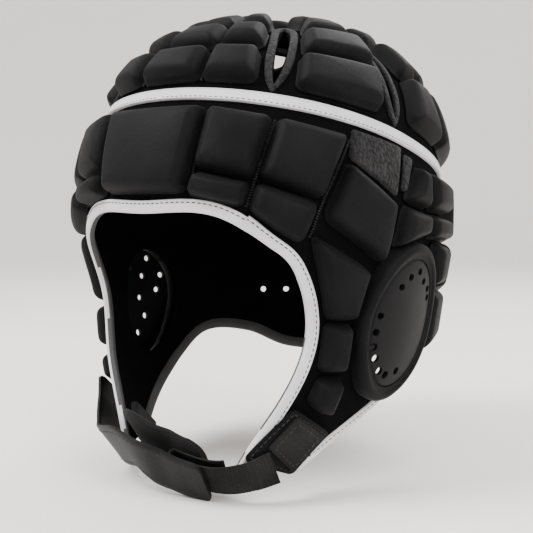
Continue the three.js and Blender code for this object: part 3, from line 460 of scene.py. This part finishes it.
CENTRE_PANELS = {
    "forehead_pad": [[-18.6, .668, 18.6, .668, -15, .897, 15, .897]],
    "crown_front_pad": [
        [-34, .1, 34, .1, -36, .19, 36, .19],
        [-14.5, .205, 14.5, .205, -14.8, .322, 14.8, .322],
        [-14, .345, 14, .345, -13.6, .447, 13.6, .447],
        [-12.8, .469, 12.8, .469, -12.6, .578, 12.6, .578]],
    "crown_rear_pad": [
        [166, .215, 194, .215, 157, .388, 203, .388],
        [162.4, .408, 197.6, .408, 162.4, .598, 197.6, .598],
        [162.4, .62, 197.6, .62, 162.4, .85, 197.6, .85]],
    "nape_pad": [
        [162.2, .96, 197.8, .96, 162.2, 1.135, 197.8, 1.135],
        [162.2, 1.153, 197.8, 1.153, 162.2, 1.323, 197.8, 1.323],
        [162.2, 1.349, 197.8, 1.349, 162.2, 1.55, 197.8, 1.55]],
}
SIDE_PANELS = {
    "brow_pad": [
        [20.1, .669, 38.7, .699, 18.1, .827, 33.9, .859],
        [17.9, .845, 33.4, .877, 16.2, .902, 31.6, .935]],
    "temple_pad": [
        [40.6, .703, 60.4, .745, 35.9, .858, 52.9, .914],
        [35.6, .876, 52, .932, 33.6, .944, 47.4, 1.044]],
    "kite_pad": [[60.6, .818, 77.2, .928, 53.9, .965, 73, 1.12]],
    "cheek_pad": [
        [50.6, 1.022, 68.6, 1.148, 55.2, 1.312, 64.1, 1.322],
        [55.2, 1.332, 63.7, 1.341, 54.6, 1.497, 63, 1.506],
        [55, 1.527, 63.4, 1.537, 53.3, 1.612, 62.3, 1.672]],
    "behind_ear_pad": [
        [89.8, .822, 93, .832, 82.9, .918, 95.6, .946],
        [82.2, .937, 95.3, .963, 77.8, 1.07, 94.4, 1.024]],
    "side_pad": [
        [96.4, .834, 117.6, .87, 97.4, .948, 118, .962],
        [97.2, .966, 118, .98, 97.6, 1.04, 118.2, 1.06],
        [103.2, 1.066, 118.3, 1.08, 104.2, 1.232, 118.5, 1.24],
        [104.2, 1.252, 118.6, 1.26, 101.6, 1.49, 117.6, 1.446]],
    "flank_pad": [
        [120.2, .875, 137.2, .906, 120.4, 1.052, 137.2, 1.092],
        [120.4, 1.07, 137.2, 1.11, 120.4, 1.252, 137.2, 1.318],
        [120.4, 1.27, 137.2, 1.345, 120.4, 1.446, 137.2, 1.474]],
    "nape_side_pad": [
        [139.4, .918, 160, .952, 139.4, 1.1, 160, 1.134],
        [139.4, 1.118, 160, 1.152, 139.4, 1.32, 160, 1.322],
        [139.4, 1.346, 160, 1.348, 139.4, 1.492, 160, 1.546]],
    "crown_brow_pad": [
        [16.4, .205, 37.4, .21, 16.6, .322, 35.4, .325],
        [16, .345, 34.8, .348, 15.6, .447, 33.6, .452],
        [15, .469, 33, .478, 14.8, .579, 32.6, .592]],
    "crown_temple_pad": [
        [60, .1, 84, .1, 60, .235, 84, .238],
        [58.6, .25, 84, .255, 52.6, .356, 83, .362],
        [51.6, .372, 82, .38, 49.2, .484, 79.6, .512],
        [48, .5, 78.6, .53, 45.8, .609, 74.6, .662]],
    "crown_side_pad": [
        [96, .105, 117, .105, 97, .24, 127, .245],
        [97.4, .258, 128, .264, 97.6, .362, 129.5, .366],
        [97.8, .38, 109.6, .385, 97.4, .518, 109.5, .538],
        [97.2, .538, 109.4, .56, 89.8, .688, 109, .744]],
    "crown_flank_pad": [
        [111.8, .388, 137.4, .395, 111.7, .542, 137.4, .578],
        [111.6, .566, 137.4, .6, 111.2, .75, 137.4, .816]],
    "crown_nape_side_pad": [
        [139.6, .4, 160.2, .405, 139.6, .582, 160.2, .596],
        [139.6, .604, 160.2, .618, 139.6, .82, 160.2, .844]],
}


def rounded_ring(half_x, half_y, radius, side=9, corner=6):
    """Points round a rounded rectangle, the same count whatever its size."""
    radius = max(min(radius, half_x, half_y), 0)
    cx, cy = half_x - radius, half_y - radius
    angle = np.linspace(0, np.pi / 2, corner)
    points = []
    for k, (sx, sy) in enumerate(((1, 1), (-1, 1), (-1, -1), (1, -1))):
        a = angle + k * np.pi / 2
        arc = np.stack([sx * cx + radius * np.cos(a), sy * cy + radius * np.sin(a)], -1)
        nx, ny = ((-1, 1), (-1, -1), (1, -1), (1, 1))[k]
        end = np.array([nx * cx + radius * np.cos(a[-1]), ny * cy + radius * np.sin(a[-1])])
        run = arc[-1] + (end - arc[-1]) * np.linspace(0, 1, side + 1)[1:-1, None]
        points += [arc, run]
    return np.concatenate(points)


def block(row, side, rise=8.0, seat=.45, flange=1.0, slope=5.2, radius=3.4, crown=1.1):
    """Moulded block: rings of a rounded rectangle from its sewn flange up the side to the top.
    The side's height at a distance d from the foot is rise (1 - (1 - d / slope)^1.8)^(1/1.8).
    """
    t0, l0, t1, l1, t2, l2, t3, l3 = row
    corner = shell_point(np.array([t0, t1, t2, t3]), np.array([l0, l1, l2, l3]))
    wide = (np.linalg.norm(corner[1] - corner[0]) + np.linalg.norm(corner[3] - corner[2])) / 2
    high = (np.linalg.norm(corner[2] - corner[0]) + np.linalg.norm(corner[3] - corner[1])) / 2
    slope = min(slope, wide / 3, high / 3)
    steps = [(-flange, .1, 0), (-flange, .5, 0), (-.8 * flange, .95, 0), (-.4 * flange, 1.3, 0)]
    for d in (0.02, .08, .18, .32, .5, .7, .9, 1):
        t = d * slope
        web = min(1.9, rise / 2)
        steps.append((t, web + (rise - web) * (1 - (1 - d) ** 1.8) ** (1 / 1.8), 0))
    inner = max(3, int(min(wide, high) / 2 / 4))
    for k in range(1, inner + 1):
        steps.append((slope, rise, k / inner))
    rings, lifts = [], []
    for d, lift, shrink in steps:
        half_x, half_y = wide / 2 - d, high / 2 - d
        ring = rounded_ring(half_x, half_y, max(radius - d, 1.5)) * (1 - shrink)
        far = np.maximum(np.abs(ring[:, 0]) / (wide / 2), np.abs(ring[:, 1]) / (high / 2))
        bulge = crown * np.clip(1 - far ** 2, 0, 1) if d > 0 else 0
        rings.append(ring)
        lifts.append(lift + bulge + 0 * ring[:, 0])
    base = len(rings)
    for shrink in (.35, .7, 1):
        rings.append(rings[0] * (1 - shrink))
        lifts.append(np.full(len(rings[0]), .1))
    rings, lifts = np.array(rings), np.array(lifts)
    u, v = rings[..., 0] / wide + .5, rings[..., 1] / high + .5
    turn = (t0 * (1 - u) + t1 * u) * (1 - v) + (t2 * (1 - u) + t3 * u) * v
    level = (l0 * (1 - u) + l1 * u) * (1 - v) + (l2 * (1 - u) + l3 * u) * v
    points = place(side * turn, level, seat + lifts)
    points = np.concatenate([points, points[:, :1]], 1)
    n = points.shape[1]
    faces = [grid_faces(base, n), grid_faces(4, n, flip=True)]
    order = np.array([0] + list(range(base, base + 3)))
    lower = faces[1] // n
    faces[1] = order[lower] * n + faces[1] % n
    return points.reshape(-1, 3), np.concatenate(faces)


def panel(name, rows, side):
    """All the blocks of a sewn column as one object, with the vents punched through its foot."""
    points, faces, count = [], [], 0
    for row in rows:
        p, f = block(row, side)
        points.append(p)
        faces.append(f + count)
        count += len(p)
    column = welded(name, np.concatenate(points), np.concatenate(faces))
    if name.startswith(("flank", "nape_side")):
        cut(column, [plug("plug", *round_outline(side * turn, level, 2.1, 20), -6, 12)
                     for turn, level in VENTS], 60)
    return column


pad_cloth = cloth("pad_cloth", (.0026, .0027, .003), .55, .22, .6, .5, sheen=.01,
                  light=(.0065, .0066, .0072), gloss=.05)
for name, rows in CENTRE_PANELS.items():
    dress(panel(name + "_cover", rows, 1), pad_cloth, "pad_cloth", name, pad=.9)
for name, rows in SIDE_PANELS.items():
    for word, side in (("left", 1), ("right", -1)):
        dress(panel(f"{name}_{word}_cover", rows, side), pad_cloth, "pad_cloth",
              f"{name}_{word}", pad=.9)


def crown_top():
    """Round block on the top, a domed disc of rings."""
    angle = np.linspace(0, 360, 49)
    rows = [(.092, .1), (.092, .4), (.084, .9), (.083, 2.5), (.081, 4.5), (.077, 6.2), (.071, 7.4),
            (.062, 8), (.045, 8.4), (.025, 8.7), (0, 8.8)]
    rows += [(0, .1)]
    rings = np.array([place(angle, level, .45 + lift) for level, lift in rows])
    points = rings.reshape(-1, 3)
    faces = np.concatenate([grid_faces(11, 49), grid_faces(1, 49)])
    last = np.stack([np.arange(48) + 1, np.arange(48), np.full(48, 11 * 49)], -1)
    faces = [list(f) for f in faces] + [list(f) for f in last]
    return welded("crown_top_pad_cover", points, faces)


dress(crown_top(), pad_cloth, "pad_cloth", "crown_top_pad", pad=.9)

# Seams between the panels
# Black thread laid side by side over each join, from edge to edge of the two panels.

def stitches(name, points, normals, stitch=2.0, gap=1.1, wide=.45, high=.28):
    """Row of stitches along a line in mm: short six-sided threads, sunk at both ends."""
    steps = np.linalg.norm(np.diff(points, axis=0), axis=1)
    run = np.concatenate([[0], np.cumsum(steps)])
    starts = np.arange(gap / 2, run[-1] - stitch, stitch + gap)
    out_points, out_faces = [], []
    parts = ((0, .15), (.18, 1), (.5, 1.15), (.82, 1), (1, .15))
    for k, start in enumerate(starts):
        at = [start + stitch * share for share, _ in parts]
        centre = np.stack([np.interp(at, run, points[:, i]) for i in range(3)], -1)
        normal = np.stack([np.interp(at, run, normals[:, i]) for i in range(3)], -1)
        normal /= np.linalg.norm(normal, axis=1, keepdims=True)
        across = np.cross(normal, centre[-1] - centre[0])
        across /= np.linalg.norm(across, axis=1, keepdims=True)
        base = len(out_points) * 6
        for (share, scale), c, m, a in zip(parts, centre, normal, across):
            angle = np.arange(6) * np.pi / 3
            out_points.append(c + a * (np.cos(angle) * wide / 2 * scale)[:, None]
                              + m * (np.sin(angle) * high * scale)[:, None])
        for row in range(4):
            for j in range(6):
                a0, a1 = base + row * 6 + j, base + row * 6 + (j + 1) % 6
                out_faces.append((a0, a1, a1 + 6, a0 + 6))
        out_faces.append([base + j for j in range(6)][::-1])
        out_faces.append([base + 24 + j for j in range(6)])
    return new_mesh(name, np.concatenate(out_points) / 1000, out_faces)


def seam(name, turns, levels, lift, **kind):
    """Stitches along a line of turns and levels at a lift."""
    points = place(turns, levels, lift)
    normals = place(turns, levels, lift + 1) - points
    return stitches(name, points, normals, **kind)


dark_thread = cloth("dark_thread", (.006, .006, .0065), .7, .02, .4, 0, light=(.016, .016, .017))
SEAMS = [
    [19.4, .672, 16.6, .9], [39.6, .704, 34.9, .866, 32.7, .942],
    [61.8, .752, 53.7, .918, 49.6, 1.03], [15.5, .2, 14.9, .335, 14.2, .455, 13.7, .585],
    [110.6, .39, 110.4, .74], [138.5, .405, 138.5, .815], [161.3, .41, 161.3, .845],
    [119.2, .88, 119.4, 1.45], [138.3, .915, 138.3, 1.31], [138.3, 1.356, 138.3, 1.48],
    [161.1, .96, 161.1, 1.54],
]
for count, row in enumerate(SEAMS):
    knots = np.array(row, float).reshape(-1, 2)
    at = np.linspace(0, len(knots) - 1, 60)
    turns = np.interp(at, np.arange(len(knots)), knots[:, 0])
    levels = np.interp(at, np.arange(len(knots)), knots[:, 1])
    for word, side in (("left", 1), ("right", -1)):
        thread = seam(f"panel_seam_{count + 1}_{word}", side * turns, levels, .95,
                      stitch=.95, gap=.35, wide=1.5, high=.75)
        dress(thread, dark_thread, "pad_cloth")

# White tape and bindings
# A light woven tape sewn round the crown, and a light binding folded over the face opening
# and the neck edge. Both are fixed by a row of dark machine stitches near one edge.


def sweep(name, sections, looped, sharp=35):
    """Solid of closed sections in rows, joined end to end or capped."""
    sections = np.asarray(sections)
    rows = np.concatenate([sections, sections[:, :1]], 1)
    if looped:
        rows = np.concatenate([rows, rows[:1]])
    n = rows.shape[1]
    faces = [list(f) for f in grid_faces(rows.shape[0], n)]
    if not looped:
        faces += [list(range(n - 1))[::-1], [(rows.shape[0] - 1) * n + k for k in range(n - 1)]]
    return welded(name, rows.reshape(-1, 3), faces, sharp)


white_tape = cloth("white_tape", (.50, .50, .52), .75, .1, .7, .1, light=(.62, .62, .64),
                   weave=(.9, .9))


def band_level(turn):
    """Level of the crown tape's middle line at a turn in degrees."""
    turn = np.radians(turn)
    return .7585 - .147 * np.cos(turn) + .0065 * np.cos(2 * turn)


def make_band():
    """Crown tape: a flat section with a fine raised cord along both edges."""
    turn = np.linspace(0, 360, 361)[:-1]
    profile = [(-3.25, .2), (-3.25, 1.3), (-2.95, 1.75), (-2.6, 1.8), (-2.3, 1.5), (2.3, 1.5),
               (2.6, 1.8), (2.95, 1.75), (3.25, 1.3), (3.25, .2)]
    sections = []
    for up, lift in profile:
        t, l = walk(turn, band_level(turn), 0 * turn, up + 0 * turn)
        sections.append(place(t, l, lift))
    band = sweep("crown_band_tape", np.stack(sections, 1), True)
    dress(band, white_tape, "white_tape", "crown_band")
    t, l = walk(turn, band_level(turn), 0 * turn, -1.9 + 0 * turn)
    rows = seam("crown_band_stitches", t, l, 1.55, stitch=1.6, gap=1.1, wide=.4, high=.22)
    dress(rows, dark_thread, "pad_cloth")


make_band()


def make_binding(name, edge, node, steps):
    """Binding folded over an edge: a U-shaped section that holds the shell's cut edge."""
    share = np.linspace(0, 1, steps)
    profile = [(6.3, .05), (6.25, .7), (5.9, 1.15), (5.2, 1.3), (4.6, 1.15), (4, 1.35), (2, 1.35),
               (.9, 1.15), (.25, .6), (0, -.2), (0, -1.6), (.25, -2.5), (.9, -2.95), (3, -3.1),
               (5.6, -3.0), (6.2, -2.7), (6.3, -2.1), (5.2, -2.05), (5.2, .05)]
    sections = []
    for inset, lift in profile:
        t, l = inset_edge(edge, share, inset)
        sections.append(place(t, l, lift))
    binding = sweep(name, np.stack(sections, 1), False)
    dress(binding, white_tape, "white_tape", node)
    # The inner leg of the folded light tape gets a second, dark grey material: painted shade, not a
    # lining of its own.
    binding.data.materials.append(binding_painted_shade)
    spots = np.array(sections).transpose(1, 0, 2).reshape(-1, 3)
    middle = np.array([face.center[:] for face in binding.data.polygons]) * 1000
    tree = KDTree(len(spots))
    for number, spot in enumerate(spots):
        tree.insert(spot, number)
    tree.balance()
    # Faces nearest the inner leg's section points take the painted-shade grey.
    inside = [9 < tree.find(spot)[1] % len(profile) < 17 for spot in middle]
    binding.data.polygons.foreach_set("material_index", np.array(inside, int))
    t, l = inset_edge(edge, share, 4.6)
    rows = seam(name + "_stitches", t, l, 1.2, stitch=1.9, gap=.9, wide=.5, high=.3)
    dress(rows, dark_thread, "pad_cloth")


# Dark grey for the inner leg of the light binding: painted shade on the same light tape.
binding_painted_shade = cloth("binding_painted_shade", (.045, .045, .046), .85, .1, .6, .1,
                       light=(.07, .07, .072))
make_binding("face_binding_tape", FACE_EDGE, "face_binding", 320)
make_binding("neck_binding_tape", NECK_EDGE, "neck_binding", 260)

# Rough cloth
# Looped cloth let in beside the temple blocks, and the same cloth as tape sewn round each
# crown slot; the stitched seam on its outer edge is not drawn.

# Its pale tone is partly the yarn's own and partly a painted highlight on the tops of the loops.
rough_cloth = cloth("rough_cloth", (.0018, .0018, .002), .8, 1.3, 2.0, .3, sheen=.05,
                    light=(.028, .028, .029), gloss=.08)


def make_edging(word, side, row):
    """Lens-shaped ring of tape round a slot, crowned between its two edges."""
    steps = 40
    inside = slot_outline(row, side, -1, 1, .1, steps)
    outside = slot_outline(row, side, -1, 1, 4.3, steps)
    sections = []
    for share, lift in ((0, .2), (0, 1.1), (.12, 1.6), (.5, 1.9), (.88, 1.6), (1, 1.0), (1, .2)):
        t = inside[0] + (outside[0] - inside[0]) * share
        l = inside[1] + (outside[1] - inside[1]) * share
        sections.append(place(t, l, lift))
    tape = sweep(f"slot_tape_{word}", np.stack(sections, 1), True)
    dress(tape, rough_cloth, "rough_fabric", f"slot_edging_{word}")


for side_word, side in (("left", 1), ("right", -1)):
    for slot_word, row in SLOTS.items():
        make_edging(f"{slot_word}_{side_word}", side, row)

INSETS = {
    "temple_inset": [63.2, .724, 82.4, .766, 61.6, .803, 79.4, .905],
    "side_inset": [84.2, .786, 88.4, .797, 82.2, .888, 84.4, .89],
}
for name, row in INSETS.items():
    for word, side in (("left", 1), ("right", -1)):
        points, faces = block(row, side, rise=1.8, flange=.6, slope=1.4, radius=1.5, crown=.2)
        dress(welded(f"{name}_{word}_cloth", points, faces), rough_cloth, "rough_fabric",
              f"{name}_{word}")

# Ears
# A flat coated-cloth cover with a ring of punched holes, inside a soft padded roll that is
# sewn to the shell round its outer edge.

EAR_HOLES = {
    "left": [(.06, .83), (-.24, .71), (.34, .7), (-.48, .53), (.62, .6), (.72, .46), (-.8, -.46),
             (-.66, -.62), (-.42, -.79), (-.18, -.83), (.16, -.75), (-.86, .02), (-.86, -.24)],
    "right": [(.2, .86), (-.42, .61), (.1, .5), (.68, .58), (.62, .27), (.09, .06), (-.73, -.22),
              (.33, -.27), (-.68, -.56), (.09, -.6), (-.22, -.86)],
}
COVER_SIZE = (21.8, 32.3)
COVER_LIFT = 5.6
COVER_BULGE = 1.4
EAR_HOLE_RADIUS = 1.9
ROLL_INNER = (22.2, 32.7)
ROLL_OUTER = (28, 41.1)
ear_cloth = cloth("ear_cloth", (.004, .0041, .0045), .5, .06, .5, .2, gloss=.08)


def make_cover(word, side):
    """Disc of rings, 1.8 mm thick and bulging by 1.4 mm, with its holes cut out."""
    angle = np.linspace(0, 2 * np.pi, 97)
    rims = [(1, 0), (.985, .35), (.96, .5), (.8, .5), (.6, .5), (.4, .5), (.2, .5), (0, .5)]
    top = [(r, COVER_LIFT + 1.3 + COVER_BULGE * (1 - r * r) + e) for r, e in rims]
    bottom = [(r, COVER_LIFT + COVER_BULGE * (1 - r * r)) for r in (0, .3, .6, .85, 1)]
    rings = []
    for r, lift in top + bottom:
        x, y = COVER_SIZE[0] * r * np.sin(angle), COVER_SIZE[1] * r * np.cos(angle)
        rings.append(place(*ear_point(side, x, y), lift))
    rings = np.array(rings + [rings[0]])
    cover = welded(f"ear_cover_{word}_disc", rings.reshape(-1, 3), grid_faces(len(rings), 97))
    plugs = []
    turn = np.linspace(0, 2 * np.pi, 20, endpoint=False)
    for across, high in EAR_HOLES[word]:
        x = across * COVER_SIZE[0] + EAR_HOLE_RADIUS * np.cos(turn)
        y = high * COVER_SIZE[1] + EAR_HOLE_RADIUS * np.sin(turn)
        plugs.append(plug("plug", *ear_point(side, x, y), 2, 12))
    cut(cover, plugs, 35)
    dress(cover, ear_cloth, "ear_cover", f"ear_cover_{word}")


def make_roll(word, side):
    """Padded roll: a rounded section between the cover's outline and the sewn outer edge."""
    angle = np.linspace(0, 2 * np.pi, 129)[:-1]
    dense = np.stack(inset_edge(NECK_EDGE, np.linspace(0, .5, 2001), 7.4), -1)
    inner, outer = ROLL_INNER, ROLL_OUTER
    reach = np.ones(128)
    for _ in range(60):
        x = (inner[0] + (outer[0] - inner[0]) * reach) * np.sin(angle)
        y = (inner[1] + (outer[1] - inner[1]) * reach) * np.cos(angle)
        t, l = ear_point(1, x, y)
        over = l > np.interp(t, dense[:, 0], dense[:, 1])
        reach = np.where(over, reach - .015, reach)
    profile = [(1.02, .3), (1.02, .8), (1, 1.6), (.99, 3), (.95, 4.8), (.88, 6.6), (.75, 8),
               (.57, 8.8), (.4, 8.8), (.28, 8.2), (.2, 7.5), (.08, 7.6), (0, 7.2), (0, .5)]
    sections = []
    for share, lift in profile:
        x = (inner[0] + (outer[0] - inner[0]) * share * reach) * np.sin(angle)
        y = (inner[1] + (outer[1] - inner[1]) * share * reach) * np.cos(angle)
        sections.append(place(*ear_point(side, x, y), lift))
    roll = sweep(f"ear_roll_{word}_cover", np.stack(sections, 1), True, 60)
    dress(roll, pad_cloth, "pad_cloth", f"ear_roll_{word}", pad=.9)


for word, side in (("left", 1), ("right", -1)):
    make_cover(word, side)
    make_roll(word, side)

# Chin strap
# Ribbed elastic comes out of a stitched pocket on the left cheek and doubles back under the
# closure: a leather-like flap outside and a padded tab inside, both from the right cheek.

STRAP = [(.462, .72, .884, 39), (.325, .792, .9, 38), (.13, .824, .891, 33),
         (.005, .838, .872, 30), (-.112, .856, .85, 31), (-.268, .84, .82, 35)]
WEBBING_START = [(47.8, 1.842, 4.8, 30)]
FLAP_END = [(-47, 1.84, 10.5, 42), (-56, 1.725, 10, 44), (-61, 1.65, 10, 44)]
TAB_END = [(-44.5, 1.875, -9.6, 36), (-49.5, 1.836, -9.2, 38), (-53.6, 1.787, -8.8, 40)]
STRAP_BACK = 7.1
WEBBING_WIDTH = 20.0
WEBBING_HALF_THICK = .7
LOOP_GAP = 4.2
FLAP_WIDTH = 28.0
FLAP_HALF_THICK = 1.2
FLAP_OFFSET = 2.7
TAB_WIDTH = 27.0
TAB_HALF_THICK = 1.8
TAB_OFFSET = -7.9
TAB_RAISE = 3


def centripetal(points, share):
    """Centripetal Catmull-Rom curve through the points at shares 0 to 1."""
    points = np.array(points)
    full = np.concatenate([[2 * points[0] - points[1]], points, [2 * points[-1] - points[-2]]])
    p = np.asarray(share) * (len(points) - 1)
    k = np.clip(np.floor(p).astype(int), 0, len(points) - 2)
    w = (p - k)[:, None]
    p0, p1, p2, p3 = (full[k + i] for i in range(4))
    d0, d1, d2 = (np.maximum(np.linalg.norm(b - a, axis=1, keepdims=True) ** .5, 1e-4)
                  for a, b in ((p0, p1), (p1, p2), (p2, p3)))
    v1 = ((p1 - p0) / d0 - (p2 - p0) / (d0 + d1) + (p2 - p1) / d1) * d1
    v2 = ((p2 - p1) / d1 - (p3 - p1) / (d1 + d2) + (p3 - p2) / d2) * d1
    return (p1 + v1 * w + (-3 * p1 + 3 * p2 - 2 * v1 - v2) * w ** 2
            + (2 * p1 - 2 * p2 + v1 + v2) * w ** 3)


def strap_line(start, end, outwards, raised):
    """Function of a share that gives centre, tangent, outward and width directions."""
    bare = np.array([(a * HALF_WIDTH, -b * FRONT_REACH - STRAP_BACK, WIDEST_Z - c * SIDE_DROP)
                     for a, b, c, _ in STRAP])
    tilt = np.radians([row[3] for row in STRAP])
    across = np.stack([0 * tilt, -np.sin(tilt), np.cos(tilt)], -1)
    ahead = np.diff(bare, axis=0)
    ahead = np.concatenate([ahead[:1], bare[2:] - bare[:-2], ahead[-1:]])
    out = np.cross(across, ahead)
    out /= np.linalg.norm(out, axis=1, keepdims=True)
    free = bare + out * outwards + across * raised
    first = [place(*row[:3]) for row in start]
    last = [place(*row[:3]) for row in end]
    points = np.array(first + list(free) + last)
    tilts = np.array([row[3] for row in list(start) + STRAP + list(end)])

    def at(share):
        """Centre, tangent, outward and width directions at the shares."""
        share = np.atleast_1d(np.asarray(share, float))
        centre = centripetal(points, share)
        tangent = centripetal(points, np.minimum(share + .002, 1)) - centripetal(
            points, np.maximum(share - .002, 0))
        tangent /= np.linalg.norm(tangent, axis=1, keepdims=True)
        lean = np.radians(np.interp(share * (len(tilts) - 1), np.arange(len(tilts)), tilts))
        wide = np.stack([0 * lean, -np.sin(lean), np.cos(lean)], -1)
        outward = np.cross(wide, tangent)
        outward /= np.linalg.norm(outward, axis=1, keepdims=True)
        return centre, tangent, outward, np.cross(tangent, outward)

    return at


def ribbon(name, centre, outward, wide, widths, half_thick, edge=.8, rib=None):
    """Strap with rounded edges: a flat closed section of width and thickness per station."""
    shape = [(-1, 0), (-1, .6), (-1 + edge * .1, .95), (-.8, 1), (-.4, 1), (0, 1), (.4, 1), (.8, 1),
             (1 - edge * .1, .95), (1, .6), (1, -.6), (1 - edge * .1, -.95), (.8, -1), (.4, -1),
             (0, -1), (-.4, -1), (-.8, -1), (-1 + edge * .1, -.95), (-1, -.6)]
    thick = half_thick if rib is None else half_thick + rib
    sections = []
    for across, through in shape:
        level = thick * through if np.ndim(thick) else np.full(len(centre), thick * through)
        sections.append(centre + wide * (across * widths / 2)[:, None] + outward * level[:, None])
    return sweep(name, np.stack(sections, 1), False)


webbing_cloth = cloth("webbing_cloth", (.006, .006, .0058), .7, .3, .9, .1,
                      light=(.017, .017, .0167), gloss=.07)
leather = cloth("flap_leather", (.0042, .0042, .0045), .46, .14, 1.7, .3, gloss=.09)
pile_cloth = cloth("tab_pile", (.004, .004, .0043), .95, .35, .8, .2, sheen=.05)


def make_webbing():
    """Outer run, a half turn under the flap and the inner run back, ribbed across."""
    outer = strap_line(WEBBING_START, [], 0, 0)
    inner = strap_line(WEBBING_START, [], -LOOP_GAP, 0)
    share = np.linspace(0, .62, 150)
    centre, tangent, outward, wide = outer(share)
    angle = np.linspace(0, np.pi, 18)[1:-1, None]
    radius = LOOP_GAP / 2
    bend = (centre[-1] + outward[-1] * radius * (np.cos(angle) - 1)
            + tangent[-1] * radius * np.sin(angle))
    bend_out = outward[-1] * np.cos(angle) + tangent[-1] * np.sin(angle)
    back = inner(np.linspace(.62, .3, 80))
    centre = np.concatenate([centre, bend, back[0]])
    outward = np.concatenate([outward, bend_out, -back[2]])
    wide = np.concatenate([wide, np.repeat(wide[-1:], 16, 0), back[3]])
    run = np.concatenate([[0], np.cumsum(np.linalg.norm(np.diff(centre, axis=0), axis=1))])
    even = np.arange(0, run[-1], .33)
    centre, outward, wide = (np.stack([np.interp(even, run, v[:, i]) for i in range(3)], -1)
                             for v in (centre, outward, wide))
    ribs = .14 * np.cos(even * 2 * np.pi / 1.65)
    strap = ribbon("webbing_strap", centre, outward, wide, np.full(len(even), WEBBING_WIDTH),
                   WEBBING_HALF_THICK, rib=ribs)
    dress(strap, webbing_cloth, "webbing", "elastic_webbing")


def make_strip(name, line, span, width, half_thick, round_start, round_end, radius):
    """Strip along a strap line whose ends are rounded to a corner radius."""
    share = np.linspace(*span, 160)
    centre, tangent, outward, wide = line(share)
    run = np.concatenate([[0], np.cumsum(np.linalg.norm(np.diff(centre, axis=0), axis=1))])
    near = np.full(len(run), radius)
    if round_start:
        near = np.minimum(near, run)
    if round_end:
        near = np.minimum(near, run[-1] - run)
    cut_in = radius - np.sqrt(np.maximum(radius ** 2 - (radius - near) ** 2, 0))
    return ribbon(name, centre, outward, wide, width - 2 * cut_in, half_thick)


def edge_stitches(name, line, span, width, inset, lift):
    """Stitches inside both long edges and the free end of a strip, on its outer face."""
    share = np.linspace(*span, 140)
    centre, _, outward, wide = line(share)
    half = width / 2 - inset
    end = np.linspace(-half, half, 20)[:, None]
    rows = {"upper": (centre + wide * half, outward), "lower": (centre - wide * half, outward),
            "end": (centre[0] + wide[0] * end, outward[:1] + 0 * end)}
    for word, (points, normals) in rows.items():
        thread = stitches(f"{name}_{word}", points + normals * lift, normals, stitch=2.1, gap=1.1,
                          wide=.5, high=.28)
        dress(thread, flap_thread, "pad_cloth")


flap_thread = cloth("flap_thread", (.02, .02, .021), .7, .02, .4, 0, light=(.035, .035, .036))
make_webbing()
flap_line = strap_line([], FLAP_END, FLAP_OFFSET, 0)
flap = make_strip("closure_flap_leather", flap_line, (.17, .99), FLAP_WIDTH, FLAP_HALF_THICK,
                  True, True, 3.5)
dress(flap, leather, "leather", "closure_flap")
edge_stitches("flap_stitches", flap_line, (.2, .9), FLAP_WIDTH, 3.2, FLAP_HALF_THICK)
tab_line = strap_line([], TAB_END, TAB_OFFSET, TAB_RAISE)
tab = make_strip("closure_tab_pile", tab_line, (.19, 1), TAB_WIDTH, TAB_HALF_THICK,
                 True, False, 9)
dress(tab, pile_cloth, "pad_cloth", "closure_tab", pad=.7)

ANCHOR = [49.4, 1.628, 66.2, 1.745, 36.6, 1.812, 55.8, 1.893]
POCKET = [50.8, 1.655, 63.6, 1.747, 44, 1.768, 55.4, 1.878]
points, faces = block(ANCHOR, 1, rise=1.35, seat=1.6, flange=0, slope=.8, radius=3, crown=.1)
dress(welded("anchor_cloth", points, faces), pad_cloth, "pad_cloth", "strap_anchor")
points, faces = block(POCKET, 1, rise=1.7, seat=3.1, flange=0, slope=.8, radius=1.5, crown=.1)
dress(welded("pocket_webbing", points, faces), webbing_cloth, "webbing", "anchor_pocket")


def outline_stitches(name, row, share, lift):
    """Stitches round a four-cornered patch, inside its edge by a share of its sides."""
    t0, l0, t1, l1, t2, l2, t3, l3 = row
    low, high = share, 1 - share
    corners = np.array([(low, low), (high, low), (high, high), (low, high), (low, low)])
    at = np.linspace(0, 4, 161)
    u, v = (np.interp(at, np.arange(5), corners[:, axis]) for axis in (0, 1))
    turn = (t0 * (1 - u) + t1 * u) * (1 - v) + (t2 * (1 - u) + t3 * u) * v
    level = (l0 * (1 - u) + l1 * u) * (1 - v) + (l2 * (1 - u) + l3 * u) * v
    thread = seam(name, turn, level, lift, stitch=2.0, gap=1.0, wide=.5, high=.3)
    dress(thread, flap_thread, "pad_cloth")


outline_stitches("pocket_stitches", POCKET, .12, 4.85)
outline_stitches("anchor_stitches", ANCHOR, .07, 3.0)
